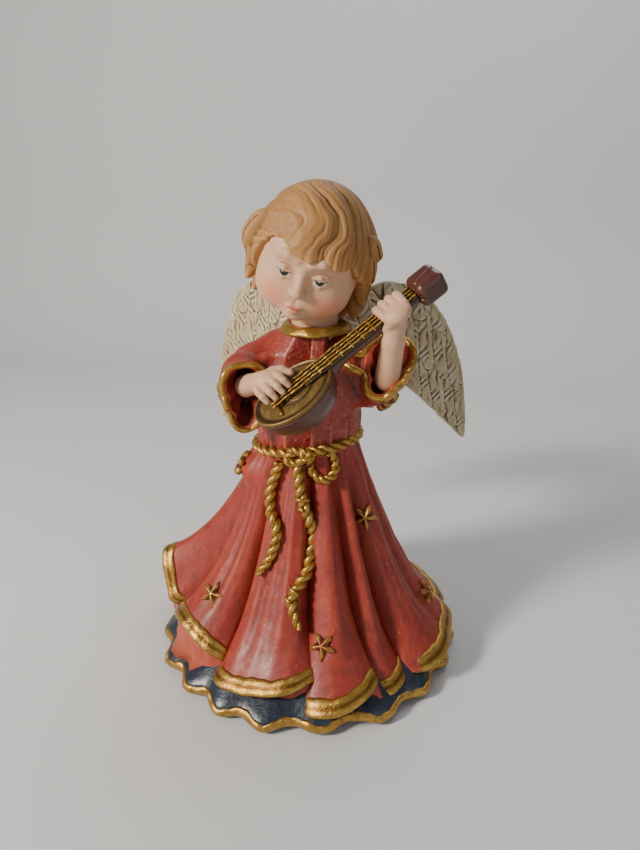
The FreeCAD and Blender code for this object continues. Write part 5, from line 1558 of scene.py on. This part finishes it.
def make_ropes(skirt, materials):
    gold = materials["gold"]
    turn = np.linspace(-np.pi, np.pi, 420, endpoint=True)
    wide, deep = WAIST_HALF[0] + 0.4 * ROPE, WAIST_HALF[1] + 0.4 * ROPE
    belt = Stuff()
    path = np.stack([wide * np.cos(turn), deep * np.sin(turn), WAIST_Z + WAIST_SLOPE * np.cos(turn)], 1)
    rope(belt, path, ROPE, 6.6, taper=False)
    build_stuff("rope_belt_gold", belt, gold, ["rope_belt"], "gold_paint", (3, 14))

    # knot: a wrap of rope round the crossing, with a small bow loop on its other side
    front = np.array([0.3, -WAIST_HALF[1] - 1.1 * ROPE, WAIST_Z - 0.5])
    knot = Stuff()
    wrap = np.linspace(0, 2 * np.pi * 1.6, 90)
    path = front + np.stack([3.0 * np.sin(wrap) + 0.3 * wrap - 1.2, -0.9 + 0.9 * np.cos(wrap),
                             1.7 * np.cos(wrap * 0.9)], 1)
    rope(knot, path, 1.25, 4.6)
    build_stuff("rope_knot_gold", knot, gold, ["rope_knot"], "gold_paint", (3, 14))

    runs = {
        "rope_end_right": ([(-107, 0.05), (-112, 0.16), (-108, 0.27), (-99, 0.36), (-103, 0.48),
                            (-108, 0.56)], 1.7),
        "rope_end_left": ([(-88, 0.05), (-84, 0.20), (-80, 0.32), (-76, 0.42), (-80, 0.56), (-86, 0.66),
                           (-82, 0.79)], 1.75),
        "rope_loop": ([(-76, 0.02), (-72, 0.08), (-63, 0.13), (-54, 0.12), (-50, 0.07), (-56, 0.02)],
                      1.4),
    }
    for name, (points, radius) in runs.items():
        stuff = Stuff()
        path = on_skirt(skirt, points, 0.75 * radius, 240)
        for _ in range(8):
            path[1:-1] = 0.5 * path[1:-1] + 0.25 * (path[2:] + path[:-2])
        rope(stuff, path, radius, 6.4 if name != "rope_loop" else 5.2, taper=name != "rope_loop")
        if name == "rope_end_left":
            # the rope is doubled below the belt and tied again near its end
            for at, girth in ((0.22, 1.5), (0.80, 1.35)):
                k = int(at * len(path))
                ahead = unit(path[k + 3] - path[k - 3])
                across = unit(np.cross(ahead, (0, -1, 0.2)))
                out = np.cross(across, ahead)
                wrap = np.linspace(0, 2 * np.pi * 1.25, 40)
                turns = (path[k] + across * (girth * 1.15 * np.cos(wrap))[:, None] + out
                         * (girth * 1.15 * np.sin(wrap))[:, None]
                         + ahead * (0.5 * wrap - 1.8)[:, None])
                stuff.tube(turns, 0.62, 10)
        build_stuff(name + "_gold", stuff, gold, [name], "gold_paint", (3, 14))


# ---------------------------------------------------------------- stars

def islands(obj):
    """Centres of the loose solids of a CAD object, in millimetres."""
    mesh = obj.data
    count = len(mesh.vertices)
    place = np.empty(count * 3)
    mesh.vertices.foreach_get("co", place)
    place = place.reshape(-1, 3) / MM
    # vertices that share a position belong together, even where the mesh is split
    keys = np.round(place, 3)
    _, same = np.unique(keys, axis=0, return_inverse=True)
    label = np.arange(same.max() + 1)
    edges = np.array([e.vertices[:] for e in mesh.edges])
    one, two = same.reshape(-1)[edges[:, 0]], same.reshape(-1)[edges[:, 1]]
    for _ in range(200):
        low = np.minimum(label[one], label[two])
        before = label.copy()
        np.minimum.at(label, one, low)
        np.minimum.at(label, two, low)
        if (before == label).all():
            break
    owner = label[same.reshape(-1)]
    return [place[owner == k].mean(0) for k in np.unique(owner)]


def star_shape(seed):
    """Puffy five-armed star with ridged arms, lying in XY and pointing out along +Z."""
    random = np.random.default_rng(seed)
    outline = []
    for k in range(20):
        turn = math.pi / 2 + 2 * math.pi * k / 20
        arm = 1.0 if k % 4 == 0 else (0.74 if k % 4 in (1, 3) else 0.46)
        if k % 4 in (1, 3):
            turn += (0.07 if k % 4 == 3 else -0.07)
        reach = STAR_REACH * arm * (1.0 + 0.10 * random.uniform(-1, 1) * (k % 4 == 0))
        outline.append((reach * math.cos(turn), reach * math.sin(turn)))
    outline = np.array(outline)
    rows = []
    for share, height in ((0.94, -0.9), (1.0, -0.2), (0.98, 0.35), (0.84, 0.85), (0.58, 1.25),
                          (0.28, 1.55)):
        crest = np.array([0.32 if k % 4 == 0 else -0.16 if k % 4 == 2 else 0.0 for k in range(20)]) * (height > 0)
        rows.append(np.column_stack([outline * share, height + crest]))
    return np.stack(rows)


def make_stars(targets, materials):
    """Each star is laid on the nearest cloth at the place that the CAD gives it."""
    stuff = Stuff()
    for seed, centre in enumerate(islands(cad_objects()["stars"])):
        best = None
        for tree in targets:
            spot, normal, _, away = tree.find_nearest(Vector(centre * MM))
            if spot is not None and (best is None or away < best[2]):
                best = (np.array(spot) / MM, np.array(normal), away)
        spot, normal, _ = best
        on_sleeve = abs(centre[0]) >= 20 and centre[2] >= 70
        outward = centre - np.array([centre[0] * 0.8 if on_sleeve else 0.0, 0.0, centre[2]])
        if normal @ outward < 0:
            normal = -normal
        across = unit(np.cross((0.3, 0.2, 1.0), normal))
        high = np.cross(normal, across)
        spin = 0.7 * seed
        one = across * math.cos(spin) + high * math.sin(spin)
        two = np.cross(normal, one)
        rows = star_shape(seed)
        placed = spot + rows[..., :1] * one + rows[..., 1:2] * two + rows[..., 2:] * normal
        stuff.grid(placed, cap_first=True, cap_last=True)
    build_stuff("gold_stars", stuff, materials["star"], ["stars"], "gold_paint", (2, 8))


def cad_objects():
    """The CAD nodes' Blender objects by node name."""
    return {name: bpy.data.objects[name] for name in frame["nodes"] if name in bpy.data.objects}


def surface_tree(obj):
    return BVHTree.FromObject(obj, bpy.context.evaluated_depsgraph_get())


# ---------------------------------------------------------------- stage, light and camera

def area_light(name, place, aim, size, power, colour=(1.0, 1.0, 1.0)):
    data = bpy.data.lights.new(name, "AREA")
    data.size = size
    data.energy = power
    data.color = colour
    obj = bpy.data.objects.new(name, data)
    obj.location = place
    obj.rotation_euler = (Vector(aim) - Vector(place)).to_track_quat("-Z", "Y").to_euler()
    bpy.context.scene.collection.objects.link(obj)


def make_stage():
    """Pale seamless sweep: floor, then a soft curve up to a backdrop."""
    size, depth, radius = 1.6, 0.32, 0.14
    profile = [(-1.2, 0.0)]
    for k in range(13):
        turn = math.pi / 2 * k / 12
        profile.append((depth + radius * math.sin(turn), radius * (1 - math.cos(turn))))
    profile.append((depth + radius, 1.4))
    verts, faces = [], []
    for k, (y, z) in enumerate(profile):
        verts += [(-size, y, z), (size, y, z)]
        if k:
            faces.append((2 * k - 2, 2 * k - 1, 2 * k + 1, 2 * k))
    mesh = bpy.data.meshes.new("studio_sweep")
    mesh.from_pydata(verts, [], faces)
    mesh.polygons.foreach_set("use_smooth", [True] * len(faces))
    paint = Paint("sweep_paint", rgb(214, 214, 212), rgb(208, 208, 207), patch=3.0, rough=0.75)
    mesh.materials.append(paint.done())
    floor = bpy.data.objects.new("studio_sweep", mesh)
    bpy.context.scene.collection.objects.link(floor)

    world = bpy.data.worlds.new("soft_room")
    world.use_nodes = True
    world.node_tree.nodes["Background"].inputs["Color"].default_value = (0.86, 0.90, 1.0, 1.0)
    world.node_tree.nodes["Background"].inputs["Strength"].default_value = 0.20
    bpy.context.scene.world = world
    middle = (0.0, 0.0, 0.07)
    area_light("key", (-0.46, -0.42, 0.40), middle, 0.13, 6.6, (1.0, 0.94, 0.86))
    area_light("fill", (0.55, -0.45, 0.30), middle, 0.6, 0.9, (0.92, 0.96, 1.0))
    area_light("rim", (0.10, 0.30, 0.55), middle, 0.4, 1.2)


CAMERA_PLACE = (0.0434, -0.1850, 0.146)
CAMERA_TURN = (70.0, 0.0, 12.0)
CAMERA_LENS, CAMERA_SENSOR = 27.1, 36.0


def make_camera():
    """Close phone view: a little to the figure's left, from about the height of its head."""
    data = bpy.data.cameras.new("camera")
    data.sensor_width = CAMERA_SENSOR
    data.lens = CAMERA_LENS
    data.clip_start = 0.01
    camera = bpy.data.objects.new("camera", data)
    camera.location = CAMERA_PLACE
    camera.rotation_euler = tuple(math.radians(turn) for turn in CAMERA_TURN)
    bpy.context.scene.collection.objects.link(camera)
    bpy.context.scene.camera = camera


# ---------------------------------------------------------------- assembly

def main():
    materials = simple_materials()
    make_stage()
    make_camera()
    felt = cad_objects()["felt_pad"]
    felt.data.materials.clear()
    felt.data.materials.append(materials["felt"])
    make_underskirt(materials)
    skirt = Overskirt()
    overskirt = make_overskirt(skirt, materials)
    make_cuffs(make_robe_top(materials), materials)
    make_collar(materials)
    make_head(skin_material("face_skin", True))
    make_hair(materials)
    make_mandolin(materials)
    make_hands(skin_material("hand_skin", False))
    for name in WING_SWEEPS:
        make_wing(name, materials)
    make_ropes(skirt, materials)
    bpy.context.view_layer.update()
    cloths = [overskirt] + [bpy.data.objects[n + "_cloth"] for n in SLEEVES]
    make_stars([surface_tree(obj) for obj in cloths], materials)


main()
